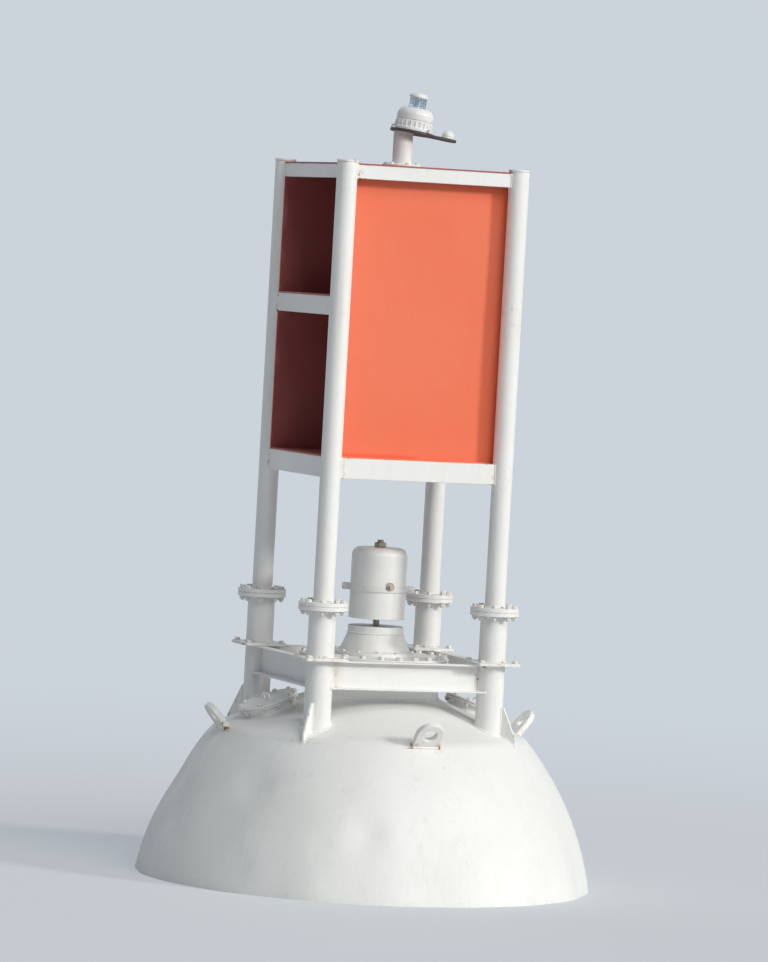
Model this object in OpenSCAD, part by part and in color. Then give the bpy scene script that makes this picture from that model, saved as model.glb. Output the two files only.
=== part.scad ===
// Lighted whistle buoy: a steel hull, a four-legged tower with a daymark and a
// radar reflector, and a tail tube. All sizes are in millimetres.
// The origin is on the buoy's axis at its waterline and +Z points up.
// The daymark's front faces -Y and the reflector's pockets open to -X and +X.

/* [Hull] */
// Largest diameter of the hull
hull_d = 2490; // [2400:10:2600]
// Depth below the waterline at which the hull's dome begins
dome_depth = 280; // [240:10:320]
// Radius of the dome's arc, seen from the side
dome_r = 1614; // [1550:1:1700]
// Angle from upright at which the dome meets the shoulder
dome_end = 41.3; // [38:0.1:44]
// Radius of the rounded shoulder
shoulder_r = 120; // [80:5:160]
// Slope of the crown above the shoulder
crown_slope = 21; // [18:0.5:24]
// Depth of the hull's chine below the waterline
chine_depth = 760; // [650:10:850]
// Radius of the rounded chine
chine_r = 70; // [40:5:100]
// Depth of the hull's bottom below the waterline
bottom_depth = 1260; // [1150:10:1400]

/* [Trunk and whistle] */
// Diameter of the trunk that stands on the crown
trunk_d = 704; // [640:4:760]
// Height of the trunk above the crown
trunk_h = 191; // [160:1:210]
// Diameter of the trunk's bolted cover
cover_d = 800; // [770:5:820]
// Thickness of the trunk's bolted cover
cover_t = 28; // [20:1:36]
// Diameter of the whistle's base flange
whistle_base_d = 430; // [400:5:460]
// Thickness of the whistle's base flange
whistle_base_t = 20; // [14:1:26]
// Diameter of the whistle's bell and of the cup below it
bell_d = 300; // [270:5:320]
// Height of the whistle's cone and cup
cup_h = 135; // [120:5:150]
// Width of the ring slit in the cup
slit_w = 9; // [6:1:12]
// Depth of the ring slit in the cup
slit_depth = 30; // [15:1:40]
// Height of the open mouth between the cup and the bell
mouth_h = 42; // [32:1:52]
// Height of the bell
bell_h = 380; // [340:5:420]
// Thickness of the bell's wall
bell_wall = 7; // [5:1:10]
// Radius of the bell's rounded top edge
bell_round = 45; // [25:5:60]
// Diameter of the spindle that carries the bell
spindle_d = 34; // [28:1:40]
// Height of the spindle's nuts
spindle_nut_h = 26; // [20:1:32]
// Length of the spindle above its top nut
spindle_end = 14; // [8:1:24]

/* [Lower frame] */
// Distance between the axes of neighbouring legs
leg_pitch = 970; // [940:5:1000]
// Diameter of the pipe posts that stand on the crown
post_d = 145; // [130:1:160]
// Height of the lower frame's top above the crown's top
frame_up = 219; // [215:1:260]
// Depth of the frame's channels
channel_h = 150; // [130:5:160]
// Width of the channels' toes
channel_w = 55; // [45:1:65]
// Thickness of the channels
channel_t = 9; // [7:1:12]
// Thickness of the knee plate beside each post
knee_t = 14; // [10:1:18]
// Height of the knee plate's top above the crown's edge
knee_up = 167; // [140:1:200]
// How far the knee plate reaches out past the crown's edge
knee_over = 54; // [20:1:70]

/* [Tower] */
// Side of the square base plate under each stub
stub_plate = 240; // [220:5:260]
// Thickness of the stub's base plate
stub_plate_t = 16; // [12:1:20]
// Height of the stubs, from the lower frame's top to the bolted joint
stub_h = 284; // [250:2:320]
// Diameter of the bolted flanges
flange_d = 260; // [240:5:280]
// Thickness of one bolted flange
flange_t = 22; // [16:1:28]
// Diameter of the tower's pipe legs
leg_d = 109; // [100:1:118]
// Height of the tower legs above the bolted joint
leg_h = 2344; // [2290:2:2400]
// Height of the leg's top cap
leg_cap_h = 12; // [8:1:16]
// Distance from the legs' centre lines out to the bars' faces
bar_out = 22; // [16:1:30]
// Width of the bars' toes
bar_w = 50; // [44:1:60]
// Thickness of the bars
bar_t = 8; // [6:1:10]
// Height of the bottom bars' undersides above the bolted joint
bottom_bar_up = 673; // [630:1:710]
// Height of the bottom bars
bottom_bar_h = 108; // [90:2:120]
// Height of the middle bars' undersides above the bolted joint
middle_bar_up = 1526; // [1470:2:1570]
// Height of the middle bars
middle_bar_h = 98; // [80:2:110]
// Drop of the top bars' undersides below the legs' tops
top_bar_drop = 96; // [86:1:120]
// Height of the top bars
top_bar_h = 72; // [60:2:80]

/* [Daymark and reflector] */
// Thickness of the daymark panels
panel_t = 9; // [6:1:12]
// How far the daymark panels reach out past the legs' centre lines
panel_lap = 20; // [10:1:22]
// Thickness of the reflector's plates
plate_t = 8; // [6:1:12]
// Diameter of the round holes in the reflector's webs
web_hole_d = 150; // [120:5:180]
// Drop of the holes' centres below the top of each web
web_hole_drop = 180; // [150:5:250]

/* [Lantern] */
// Diameter of the lantern's post
lantern_post_d = 104; // [94:1:114]
// Diameter of the lantern post's foot flange
lantern_foot_d = 210; // [190:5:230]
// Thickness of the foot flange
lantern_foot_t = 14; // [10:1:18]
// Height of the lantern post on its axis
lantern_post_h = 188; // [150:2:230]
// Tilt of the lantern's plate, down towards +X
lantern_tilt = 8; // [0:0.5:12]
// Thickness of the lantern's plate
lantern_plate_t = 14; // [10:1:18]
// Diameter of the lantern plate's round ends
lantern_plate_d = 240; // [220:5:260]
// Distance from the post's axis to the lantern's axis
lantern_offset = 50; // [30:5:60]
// Distance from the lantern's axis to the sensor's axis
sensor_offset = 205; // [190:5:220]
// Diameter of the lantern's body
lantern_d = 196; // [180:2:214]
// Height of the lantern's body
lantern_h = 124; // [110:2:140]
// Diameter of the lantern's lens
lens_d = 92; // [80:2:104]
// Height of the lantern's lens with its cap
lens_h = 92; // [70:2:110]
// Diameter of the sensor's dome
sensor_d = 68; // [56:2:80]
// Height of the sensor's dome
sensor_h = 46; // [40:2:60]

/* [Fittings] */
// Width of the lifting eyes
lifting_eye_w = 150; // [130:5:170]
// Thickness of the lifting eyes
lifting_eye_t = 32; // [24:1:40]
// Diameter of the lifting eyes' bores
lifting_bore_d = 72; // [60:1:80]
// Height of the bores' centres above the shoulder, square to it
lifting_bore_up = 84; // [78:2:100]
// Angle of the lifting eyes above level
lifting_eye_angle = 51; // [45:1:60]
// Thickness of the pocket covers
pocket_t = 22; // [16:1:28]
// Height of the pocket's coaming below its cover
coaming_h = 34; // [24:1:44]
// How far the pocket covers overhang their coamings
pocket_lip = 22; // [14:1:30]
// Room between a pocket cover and the trunk, and between it and the crown's edge
pocket_room = 57; // [40:1:80]

/* [Tail] */
// Outer diameter of the tail tube
tube_d = 610; // [560:10:640]
// Thickness of the tail tube's wall
tube_wall = 14; // [10:1:20]
// Depth of the tail tube's open end below the waterline
tail_depth = 3600; // [3400:10:3800]
// Diameter of the counterweight ring
weight_d = 930; // [860:10:960]
// Height of the counterweight ring
weight_h = 300; // [250:10:340]
// Bevel along the counterweight's edges
weight_bevel = 40; // [20:5:60]
// Width of the collar that carries the counterweight
collar_w = 70; // [50:5:90]
// Thickness of the collar that carries the counterweight
collar_t = 30; // [20:1:40]
// Height of the collar's underside above the tube's open end
collar_up = 90; // [60:5:120]
// Length of the tail's knee plates down the tube
tail_knee_h = 560; // [450:10:650]
// Reach of the tail's knee plates from the tube
tail_knee_w = 420; // [350:10:480]
// Thickness of the tail's knee plates
tail_knee_t = 16; // [12:1:22]

/* [Mooring] */
// Distance of the mooring eyes' bores in from the hull's side
mooring_inset = 165; // [140:5:220]
// Drop of the mooring eyes' bores below the hull's bottom cone
mooring_drop = 150; // [140:5:180]
// Thickness of the mooring eyes
mooring_eye_t = 50; // [40:1:56]
// Diameter of the mooring eyes around their bores
mooring_eye_d = 150; // [130:5:160]
// Diameter of the shackle's pin
pin_d = 46; // [40:1:50]
// Clearance of the pin in the mooring eye's bore, on its radius
pin_gap = 3; // [2:0.5:5]
// Clearance between the mooring eye and each of the shackle's ears
jaw_gap = 6; // [5:0.5:9]
// Diameter of the shackle's bar
shackle_bar_d = 40; // [34:1:44]
// Diameter of the shackle's ears
shackle_ear_d = 92; // [84:2:100]
// Distance from the pin's axis to the inside of the shackle's bow
shackle_inside = 176; // [165:2:200]
// Thickness of the pin's head and nut
pin_head_t = 22; // [16:1:28]

/* [Fits] */
// Gap at which a curved piece lies from the piece that it seats on
seat = 0.3; // [0.2:0.05:0.5]

/* [Hidden] */
$fn = 64;

WHITE = [0.92, 0.92, 0.90];
ORANGE = [0.86, 0.33, 0.20];
RED = [0.42, 0.14, 0.13];
DARK = [0.20, 0.19, 0.18];
CLEAR = [0.75, 0.85, 0.95];

// One row for each corner of the tower: x sign, y sign
FRONT_LEFT = [-1, -1];
FRONT_RIGHT = [1, -1];
REAR_LEFT = [-1, 1];
REAR_RIGHT = [1, 1];
CORNERS = [FRONT_LEFT, FRONT_RIGHT, REAR_LEFT, REAR_RIGHT];
// Turn about Z that carries a piece from the front side, at -Y, to each side
FRONT = 0;
RIGHT = 90;
REAR = 180;
LEFT = 270;

tube_r = tube_d / 2;
trunk_r = trunk_d / 2;
hull_r = hull_d / 2;
leg_half = leg_pitch / 2;
leg_circle = leg_half * sqrt(2);
post_r = post_d / 2;
leg_r = leg_d / 2;

// Centre of the dome's arc, and the points where its arc and the shoulder's end
dome_centre = [hull_r - dome_r, -dome_depth];
dome_top = dome_centre + dome_r * [cos(dome_end), sin(dome_end)];
shoulder_centre = dome_top - shoulder_r * [cos(dome_end), sin(dome_end)];
shoulder_end = 90 - crown_slope;
crown_edge = shoulder_centre + shoulder_r * [cos(shoulder_end), sin(shoulder_end)];
crown_top = crown_edge.y + (crown_edge.x - trunk_r) * tan(crown_slope);
bottom_slope = atan((bottom_depth - chine_depth) / (hull_r - tube_r));

crown_run = crown_edge.x - trunk_r;
pocket_d = crown_run - 2 * pocket_room;
pocket_place = trunk_r + crown_run / 2;
mooring_place = hull_r - mooring_inset;

trunk_top = crown_top + trunk_h;
frame_top = crown_top + frame_up;
joint_z = frame_top + stub_h;
leg_top = joint_z + leg_h;
bottom_bar_z = joint_z + bottom_bar_up;
middle_bar_z = joint_z + middle_bar_up;
top_bar_z = leg_top - top_bar_drop;
whistle_z = trunk_top + cover_t;
cup_top = whistle_z + whistle_base_t + cup_h;
bell_z = cup_top + mouth_h;
bell_top = bell_z + bell_h;
floor_z = bottom_bar_z + bottom_bar_h;
shelf_z = middle_bar_z + middle_bar_h;
roof_z = top_bar_z + top_bar_h;
lantern_foot_z = roof_z + plate_t;
lantern_post_top = lantern_foot_z + lantern_post_h;
bar_half = leg_half + bar_out;
panel_half = leg_half + panel_lap;
panel_face = leg_half - leg_r - seat;
web_half = panel_face - panel_t - seat;
mooring_surface_z = -chine_depth - (hull_r - mooring_place) * tan(bottom_slope);
mooring_z = mooring_surface_z - mooring_drop;
pin_z = mooring_z - pin_gap + seat;
jaw_half = mooring_eye_t / 2 + jaw_gap;
ear_t = shackle_bar_d;
collar_top = -tail_depth + collar_up + collar_t;

// Points along an arc about a centre, from one angle to another
function arc(centre, radius, start, end, steps) =
    [for (i = [0:steps]) let (a = start + (end - start) * i / steps)
        centre + radius * [cos(a), sin(a)]];

// Half of the hull's outline as radius and height, moved out from its skin by grow
function hull_outline(grow = 0) = let (
    slope = [sin(bottom_slope), -cos(bottom_slope)],
    chine_reach = chine_r * tan(bottom_end_turn() / 2),
    chine_centre = [hull_r - chine_r, -chine_depth + chine_reach],
    tail_point = [tube_r, -bottom_depth] + grow * slope
) concat(
    [[0, tail_point.y], tail_point],
    arc(chine_centre, chine_r + grow, bottom_slope - 90, 0, 5),
    arc(dome_centre, dome_r + grow, 0, dome_end, 14),
    arc(shoulder_centre, shoulder_r + grow, dome_end + 4, shoulder_end, 5),
    [[trunk_r, crown_top + grow / cos(crown_slope)], [0, crown_top + grow / cos(crown_slope)]]
);

// Angle through which the outline turns at the chine
function bottom_end_turn() = 90 - bottom_slope;

module hull_solid(grow = 0) {
    rotate_extrude($fn = 128) polygon(hull_outline(grow));
}

module hull_body() {
    color(WHITE) hull_solid();
}

module trunk() {
    color(WHITE) translate([0, 0, crown_top]) cylinder(r = trunk_r, h = trunk_top - crown_top);
}

module trunk_cover() {
    color(WHITE) translate([0, 0, trunk_top]) cylinder(d = cover_d, h = cover_t);
}

// Flange, cone and cup of the whistle, with the slit that the air leaves by
module whistle_base() {
    flange_r = whistle_base_d / 2;
    cup_r = bell_d / 2;
    cone_foot_r = flange_r - whistle_base_t;
    flange_z = whistle_z + whistle_base_t;
    lip_h = slit_depth + bell_wall;
    color(WHITE) rotate_extrude() polygon([
        [0, whistle_z],
        [flange_r, whistle_z],
        [flange_r, flange_z],
        [cone_foot_r, flange_z],
        [cup_r, cup_top - lip_h],
        [cup_r, cup_top],
        [cup_r - bell_wall, cup_top],
        [cup_r - bell_wall, cup_top - slit_depth],
        [cup_r - bell_wall - slit_w, cup_top - slit_depth],
        [cup_r - bell_wall - slit_w, cup_top],
        [0, cup_top]
    ]);
}

// Bell of the whistle, open at its foot, with a hole for the spindle in its crown
module whistle_bell() {
    outer = bell_d / 2;
    inner = outer - bell_wall;
    hole_r = spindle_d / 2 + seat;
    color(WHITE) rotate_extrude() polygon(concat(
        [[inner, bell_z], [outer, bell_z]],
        arc([outer - bell_round, bell_top - bell_round], bell_round, 0, 90, 6),
        [[hole_r, bell_top], [hole_r, bell_top - bell_wall]],
        arc([outer - bell_round, bell_top - bell_round], bell_round - bell_wall, 90, 0, 6)
    ));
}

// Spindle that stands on the cup, with a hexagon nut on each side of the bell's crown
module whistle_spindle() {
    nut_r = spindle_d;
    color(WHITE) {
        translate([0, 0, cup_top])
            cylinder(d = spindle_d, h = bell_top + spindle_nut_h + spindle_end - cup_top);
        translate([0, 0, bell_top]) cylinder(r = nut_r, h = spindle_nut_h, $fn = 6);
        translate([0, 0, bell_top - bell_wall - spindle_nut_h])
            cylinder(r = nut_r, h = spindle_nut_h, $fn = 6);
    }
}

// Pipe post on the crown, with a knee plate on its outer side
module post(corner) {
    color(WHITE) difference() {
        rotate([0, 0, atan2(corner.y, corner.x)]) union() {
            translate([leg_circle, 0, 0]) cylinder(r = post_r, h = frame_top);
            rotate([90, 0, 0]) linear_extrude(height = knee_t, center = true) polygon([
                [leg_circle, crown_edge.y - shoulder_r],
                [crown_edge.x + knee_over, crown_edge.y - shoulder_r],
                [crown_edge.x + knee_over, crown_edge.y],
                [leg_circle + post_r + knee_t, crown_edge.y + knee_up],
                [leg_circle, crown_edge.y + knee_up]
            ]);
        }
        hull_solid(seat);
    }
}

// Outline of a channel seen along its length, with its web at y = 0 and toes towards -Y
module channel_outline(height, width, thick) {
    difference() {
        translate([-width, 0]) square([width, height]);
        translate([-width - thick, thick]) square([width, height - 2 * thick]);
    }
}

// Straight channel on the front side, from leg to leg, cut to fit round both of them
module front_channel(z, height, width, thick, face, toes_out, pipe_r) {
    difference() {
        translate([-leg_half, 0, z]) rotate([90, 0, 90]) linear_extrude(height = leg_pitch)
            translate([face, 0]) mirror([toes_out ? 0 : 1, 0])
                channel_outline(height, width, thick);
        for (side = [-1, 1])
            translate([side * leg_half, -leg_half, z - thick])
                cylinder(r = pipe_r + seat, h = height + 2 * thick);
    }
}

// Channel of the lower frame, toes outward
module frame_channel(turn) {
    color(WHITE) rotate([0, 0, turn]) front_channel(
        frame_top - channel_h, channel_h, channel_w, channel_t, -leg_half, true, post_r);
}

// Bar of the tower, a channel with its flat web outward
module tower_bar(turn, z, height) {
    color(WHITE) rotate([0, 0, turn]) front_channel(
        z, height, bar_w, bar_t, -bar_half, false, leg_r);
}

// Short pipe with a square foot and a round flange
module stub(corner) {
    color(WHITE) translate([corner.x * leg_half, corner.y * leg_half, 0]) {
        translate([-stub_plate / 2, -stub_plate / 2, frame_top])
            cube([stub_plate, stub_plate, stub_plate_t]);
        translate([0, 0, frame_top]) cylinder(r = post_r, h = joint_z - frame_top);
        translate([0, 0, joint_z - flange_t]) cylinder(d = flange_d, h = flange_t);
    }
}

// Pipe leg of the tower, with its flange below and a cap on top
module leg(corner) {
    cap_lip = 3;
    color(WHITE) translate([corner.x * leg_half, corner.y * leg_half, 0]) {
        translate([0, 0, joint_z]) cylinder(d = flange_d, h = flange_t);
        translate([0, 0, joint_z]) cylinder(r = leg_r, h = leg_top - joint_z);
        translate([0, 0, leg_top - leg_cap_h]) cylinder(r = leg_r + cap_lip, h = leg_cap_h);
    }
}

// Daymark panel on the inner side of two legs, notched at both edges round the side bars
module panel(turn) {
    notch_from = bar_half - bar_w - seat;
    // One row for each side bar: height of its underside, height of the bar
    bars = [[middle_bar_z, middle_bar_h], [top_bar_z, top_bar_h]];
    color(ORANGE) rotate([0, 0, turn]) difference() {
        translate([-panel_half, -panel_face, floor_z])
            cube([2 * panel_half, panel_t, roof_z - seat - floor_z]);
        for (side = [0, 1], bar = bars)
            mirror([side, 0, 0]) translate([notch_from, -leg_half, bar[0] - seat])
                cube([bar_w, leg_half, bar[1] + 2 * seat]);
    }
}

// Level plate of the reflector, from side to side of the tower
module level_plate(z, half_y) {
    color(RED) translate([-bar_half, -half_y, z]) cube([2 * bar_half, 2 * half_y, plate_t]);
}

// Level plate on the top bars, notched round the four legs
module roof_plate() {
    difference() {
        level_plate(roof_z, bar_half);
        for (corner = CORNERS)
            translate([corner.x * leg_half, corner.y * leg_half, roof_z - plate_t])
                cylinder(r = leg_r + seat, h = 3 * plate_t);
    }
}

// Upright plate of the reflector across the middle of the tower, with a round hole
module web(z, top) {
    color(RED) difference() {
        translate([-plate_t / 2, -web_half, z]) cube([plate_t, 2 * web_half, top - z]);
        translate([-plate_t, 0, top - web_hole_drop]) rotate([0, 90, 0])
            cylinder(d = web_hole_d, h = 2 * plate_t);
    }
}

// Places its children on the lantern post's tilted top
module on_lantern_plate(x, up) {
    translate([0, 0, lantern_post_top]) rotate([0, lantern_tilt, 0]) translate([x, 0, up])
        children();
}

module lantern_post() {
    color(WHITE) translate([0, 0, lantern_foot_z]) cylinder(d = lantern_foot_d, h = lantern_foot_t);
    color(WHITE) difference() {
        translate([0, 0, lantern_foot_z])
            cylinder(d = lantern_post_d, h = lantern_post_h + lantern_post_d);
        on_lantern_plate(-lantern_post_d, 0)
            translate([0, -lantern_post_d, 0]) cube(2 * lantern_post_d);
    }
}

// Flat plate under the lantern, a disc with an arm that carries the sensor
module lantern_plate() {
    arm_end_d = sensor_d + 2 * lantern_plate_t;
    color(DARK) on_lantern_plate(lantern_offset, 0) {
        cylinder(d = lantern_plate_d, h = lantern_plate_t);
        translate([0, -arm_end_d / 2, 0]) cube([sensor_offset, arm_end_d, lantern_plate_t]);
        translate([sensor_offset, 0, 0]) cylinder(d = arm_end_d, h = lantern_plate_t);
    }
}

// Body of the lantern, a foot ring below a rounded head
module lantern_body() {
    body_r = lantern_d / 2;
    foot_r = body_r + lantern_foot_t / 2;
    round_r = lantern_h / 3;
    color(WHITE) on_lantern_plate(lantern_offset, lantern_plate_t) rotate_extrude() polygon(concat(
        [[0, 0], [foot_r, 0], [foot_r, lantern_foot_t], [body_r, lantern_foot_t]],
        arc([body_r - round_r, lantern_h - round_r], round_r, 0, 90, 6),
        [[0, lantern_h]]
    ));
}

// Lens of the lantern, under its small cap
module lantern_lens() {
    lens_r = lens_d / 2;
    cap_h = lens_h / 5;
    color(CLEAR) on_lantern_plate(lantern_offset, lantern_plate_t + lantern_h) rotate_extrude()
        polygon([
            [0, 0],
            [lens_r, 0],
            [lens_r, lens_h - 2 * cap_h],
            [lens_r + cap_h / 3, lens_h - cap_h],
            [lens_r - cap_h, lens_h],
            [0, lens_h]
        ]);
}

module sensor() {
    dome = sensor_d / 2;
    color(WHITE) on_lantern_plate(lantern_offset + sensor_offset, lantern_plate_t)
        rotate_extrude() polygon(concat(
            [[0, 0], [dome, 0]],
            arc([0, sensor_h - dome], dome, 0, 90, 8)
        ));
}

// Lifting eye square to the rounded shoulder
module lifting_eye(turn) {
    foot = shoulder_centre + shoulder_r * [cos(lifting_eye_angle), sin(lifting_eye_angle)];
    depth = lifting_eye_t;
    color(WHITE) rotate([0, 0, turn]) difference() {
        translate([0, -foot.x, foot.y]) rotate([90 - lifting_eye_angle, 0, 0]) {
            translate([-lifting_eye_w / 2, -lifting_eye_t / 2, -depth])
                cube([lifting_eye_w, lifting_eye_t, lifting_bore_up + depth]);
            translate([0, lifting_eye_t / 2, lifting_bore_up]) rotate([90, 0, 0])
                cylinder(d = lifting_eye_w, h = lifting_eye_t);
        }
        translate([0, -foot.x, foot.y]) rotate([90 - lifting_eye_angle, 0, 0])
            translate([0, lifting_eye_t, lifting_bore_up]) rotate([90, 0, 0])
                cylinder(d = lifting_bore_d, h = 2 * lifting_eye_t);
        hull_solid(seat);
    }
}

// Round pocket on the crown: a coaming below a wider cover
module pocket(side) {
    centre_z = crown_edge.y + (crown_edge.x - pocket_place) * tan(crown_slope);
    color(WHITE) difference() {
        translate([side * pocket_place, 0, centre_z]) rotate([0, side * crown_slope, 0]) {
            translate([0, 0, -coaming_h])
                cylinder(d = pocket_d - 2 * pocket_lip, h = 2 * coaming_h);
            translate([0, 0, coaming_h]) cylinder(d = pocket_d, h = pocket_t);
        }
        hull_solid(seat);
    }
}

// Tail tube, open at its foot, with its collar and four knee plates below the hull
module tail_tube() {
    tube_h = tail_depth - bottom_depth;
    color(DARK) difference() {
        union() {
            translate([0, 0, -tail_depth]) cylinder(r = tube_r, h = tube_h);
            translate([0, 0, -tail_depth + collar_up]) cylinder(r = tube_r + collar_w, h = collar_t);
            for (turn = [45:90:315])
                rotate([90, 0, turn]) linear_extrude(height = tail_knee_t, center = true) polygon([
                    [tube_r - tube_wall / 2, -bottom_depth - tail_knee_h],
                    [tube_r + tail_knee_t, -bottom_depth - tail_knee_h],
                    [tube_r + tail_knee_w, -bottom_depth + tail_knee_w * tan(bottom_slope)],
                    [tube_r - tube_wall / 2, -bottom_depth]
                ]);
        }
        translate([0, 0, -tail_depth - tube_wall])
            cylinder(r = tube_r - tube_wall, h = tube_h + 2 * tube_wall);
        hull_solid(seat);
    }
}

// Cast ring round the tail tube, standing on its collar
module counterweight() {
    inner = tube_r + seat;
    outer = weight_d / 2;
    color(DARK) translate([0, 0, collar_top]) rotate_extrude() polygon([
        [inner, 0],
        [outer - weight_bevel, 0],
        [outer, weight_bevel],
        [outer, weight_h - weight_bevel],
        [outer - weight_bevel, weight_h],
        [inner, weight_h]
    ]);
}

// Eye below the hull's bottom cone, for one leg of the mooring bridle
module mooring_eye(side) {
    eye_r = mooring_eye_d / 2;
    top_z = mooring_surface_z + mooring_eye_d;
    color(DARK) difference() {
        union() {
            rotate([90, 0, 0]) linear_extrude(height = mooring_eye_t, center = true) polygon([
                [side * (mooring_place - 1.5 * mooring_eye_d), top_z],
                [side * (mooring_place - 1.5 * mooring_eye_d), mooring_surface_z - mooring_eye_d / 2],
                [side * (mooring_place - eye_r), mooring_z],
                [side * (mooring_place + eye_r), mooring_z],
                [side * (mooring_place + eye_r), top_z]
            ]);
            translate([side * mooring_place, mooring_eye_t / 2, mooring_z]) rotate([90, 0, 0])
                cylinder(r = eye_r, h = mooring_eye_t);
        }
        translate([side * mooring_place, mooring_eye_t, mooring_z]) rotate([90, 0, 0])
            cylinder(d = pin_d + 2 * pin_gap, h = 2 * mooring_eye_t);
        hull_solid(seat);
    }
}

// Shackle with its pin, hanging from a mooring eye
module shackle(side) {
    bar_r = shackle_bar_d / 2;
    bow_r = jaw_half + bar_r;
    straight = shackle_inside - jaw_half;
    head_d = shackle_ear_d - pin_head_t;
    pin_half = jaw_half + ear_t + pin_head_t;
    color(DARK) translate([side * mooring_place, 0, pin_z]) {
        for (end = [-1, 1]) {
            translate([0, end * bow_r, -straight]) cylinder(r = bar_r, h = straight);
            translate([0, end * bow_r + ear_t / 2, 0]) rotate([90, 0, 0])
                cylinder(d = shackle_ear_d, h = ear_t);
            translate([0, end * (jaw_half + ear_t + pin_head_t / 2) + pin_head_t / 2, 0])
                rotate([90, 0, 0]) cylinder(d = head_d, h = pin_head_t);
        }
        translate([0, 0, -straight]) rotate([-90, 0, 90]) rotate_extrude(angle = 180)
            translate([bow_r, 0]) circle(r = bar_r, $fn = 32);
        translate([0, pin_half, 0]) rotate([90, 0, 0]) cylinder(d = pin_d, h = 2 * pin_half);
    }
}

hull_body();  // hull
trunk();
trunk_cover();
whistle_base();
whistle_bell();
whistle_spindle();
post(FRONT_LEFT);  // post_front_left
post(FRONT_RIGHT);  // post_front_right
post(REAR_LEFT);  // post_rear_left
post(REAR_RIGHT);  // post_rear_right
frame_channel(FRONT);  // channel_front
frame_channel(RIGHT);  // channel_right
frame_channel(REAR);  // channel_rear
frame_channel(LEFT);  // channel_left
stub(FRONT_LEFT);  // stub_front_left
stub(FRONT_RIGHT);  // stub_front_right
stub(REAR_LEFT);  // stub_rear_left
stub(REAR_RIGHT);  // stub_rear_right
leg(FRONT_LEFT);  // leg_front_left
leg(FRONT_RIGHT);  // leg_front_right
leg(REAR_LEFT);  // leg_rear_left
leg(REAR_RIGHT);  // leg_rear_right
tower_bar(FRONT, bottom_bar_z, bottom_bar_h);  // bottom_bar_front
tower_bar(RIGHT, bottom_bar_z, bottom_bar_h);  // bottom_bar_right
tower_bar(REAR, bottom_bar_z, bottom_bar_h);  // bottom_bar_rear
tower_bar(LEFT, bottom_bar_z, bottom_bar_h);  // bottom_bar_left
tower_bar(RIGHT, middle_bar_z, middle_bar_h);  // middle_bar_right
tower_bar(LEFT, middle_bar_z, middle_bar_h);  // middle_bar_left
tower_bar(FRONT, top_bar_z, top_bar_h);  // top_bar_front
tower_bar(RIGHT, top_bar_z, top_bar_h);  // top_bar_right
tower_bar(REAR, top_bar_z, top_bar_h);  // top_bar_rear
tower_bar(LEFT, top_bar_z, top_bar_h);  // top_bar_left
panel(FRONT);  // panel_front
panel(REAR);  // panel_rear
level_plate(floor_z, web_half);  // reflector_floor
level_plate(shelf_z, web_half);  // reflector_shelf
roof_plate();  // reflector_roof
web(floor_z + plate_t, shelf_z);  // reflector_web_low
web(shelf_z + plate_t, roof_z);  // reflector_web_high
lantern_post();
lantern_plate();
lantern_body();
lantern_lens();
sensor();
lifting_eye(FRONT);  // lifting_eye_front
lifting_eye(RIGHT);  // lifting_eye_right
lifting_eye(REAR);  // lifting_eye_rear
lifting_eye(LEFT);  // lifting_eye_left
pocket(-1);  // pocket_left
pocket(1);  // pocket_right
tail_tube();
counterweight();
mooring_eye(-1);  // mooring_eye_left
mooring_eye(1);  // mooring_eye_right
shackle(-1);  // shackle_left
shackle(1);  // shackle_right
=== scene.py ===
"""Looks of a lighted whistle buoy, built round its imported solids.

Each sub-assembly is a class that holds its sizes in metres and makes its own meshes.
The buoy floats upright: +Z is up, the waterline is at z = 0 and -Y is the front.
"""

import logging
from dataclasses import dataclass, field
from enum import Enum
from typing import Sequence

import bmesh
import bpy
import numpy as np
from mathutils import Matrix, Vector
from numpy.typing import NDArray


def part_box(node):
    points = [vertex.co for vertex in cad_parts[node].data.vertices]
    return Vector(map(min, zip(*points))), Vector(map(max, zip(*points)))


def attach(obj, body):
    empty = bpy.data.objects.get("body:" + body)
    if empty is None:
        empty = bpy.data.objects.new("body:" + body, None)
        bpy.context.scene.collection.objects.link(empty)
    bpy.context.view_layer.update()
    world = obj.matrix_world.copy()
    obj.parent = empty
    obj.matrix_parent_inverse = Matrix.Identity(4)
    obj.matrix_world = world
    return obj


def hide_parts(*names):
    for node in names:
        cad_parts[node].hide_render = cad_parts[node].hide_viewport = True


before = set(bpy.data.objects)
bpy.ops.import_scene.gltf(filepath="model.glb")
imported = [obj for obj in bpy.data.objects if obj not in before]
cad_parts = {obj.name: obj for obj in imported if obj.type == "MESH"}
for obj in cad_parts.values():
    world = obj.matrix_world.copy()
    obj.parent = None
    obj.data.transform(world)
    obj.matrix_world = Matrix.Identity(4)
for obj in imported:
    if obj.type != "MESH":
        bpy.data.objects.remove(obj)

Array = NDArray[np.float64]
Numbers = NDArray[np.int64]
Colour = tuple[float, float, float]
Corner = tuple[float, float]
Socket = bpy.types.NodeSocket

FULL_TURN = 2.0 * np.pi
BUOY = "buoy"
SEAT = 0.0003  # the gap left where one piece fits round another
NEAR_ZERO = 1e-6
SHARP_BOLT = 25.0  # the angle past which an edge of a bolt or nut is drawn sharp
SHARP_WELD = 60.0  # the same for a weld bead
UP = np.array([0.0, 0.0, 1.0])
DOWN = np.array([0.0, 0.0, -1.0])
FORWARD = np.array([1.0, 0.0, 0.0])
FRONT = np.array([0.0, -1.0, 0.0])

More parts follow.
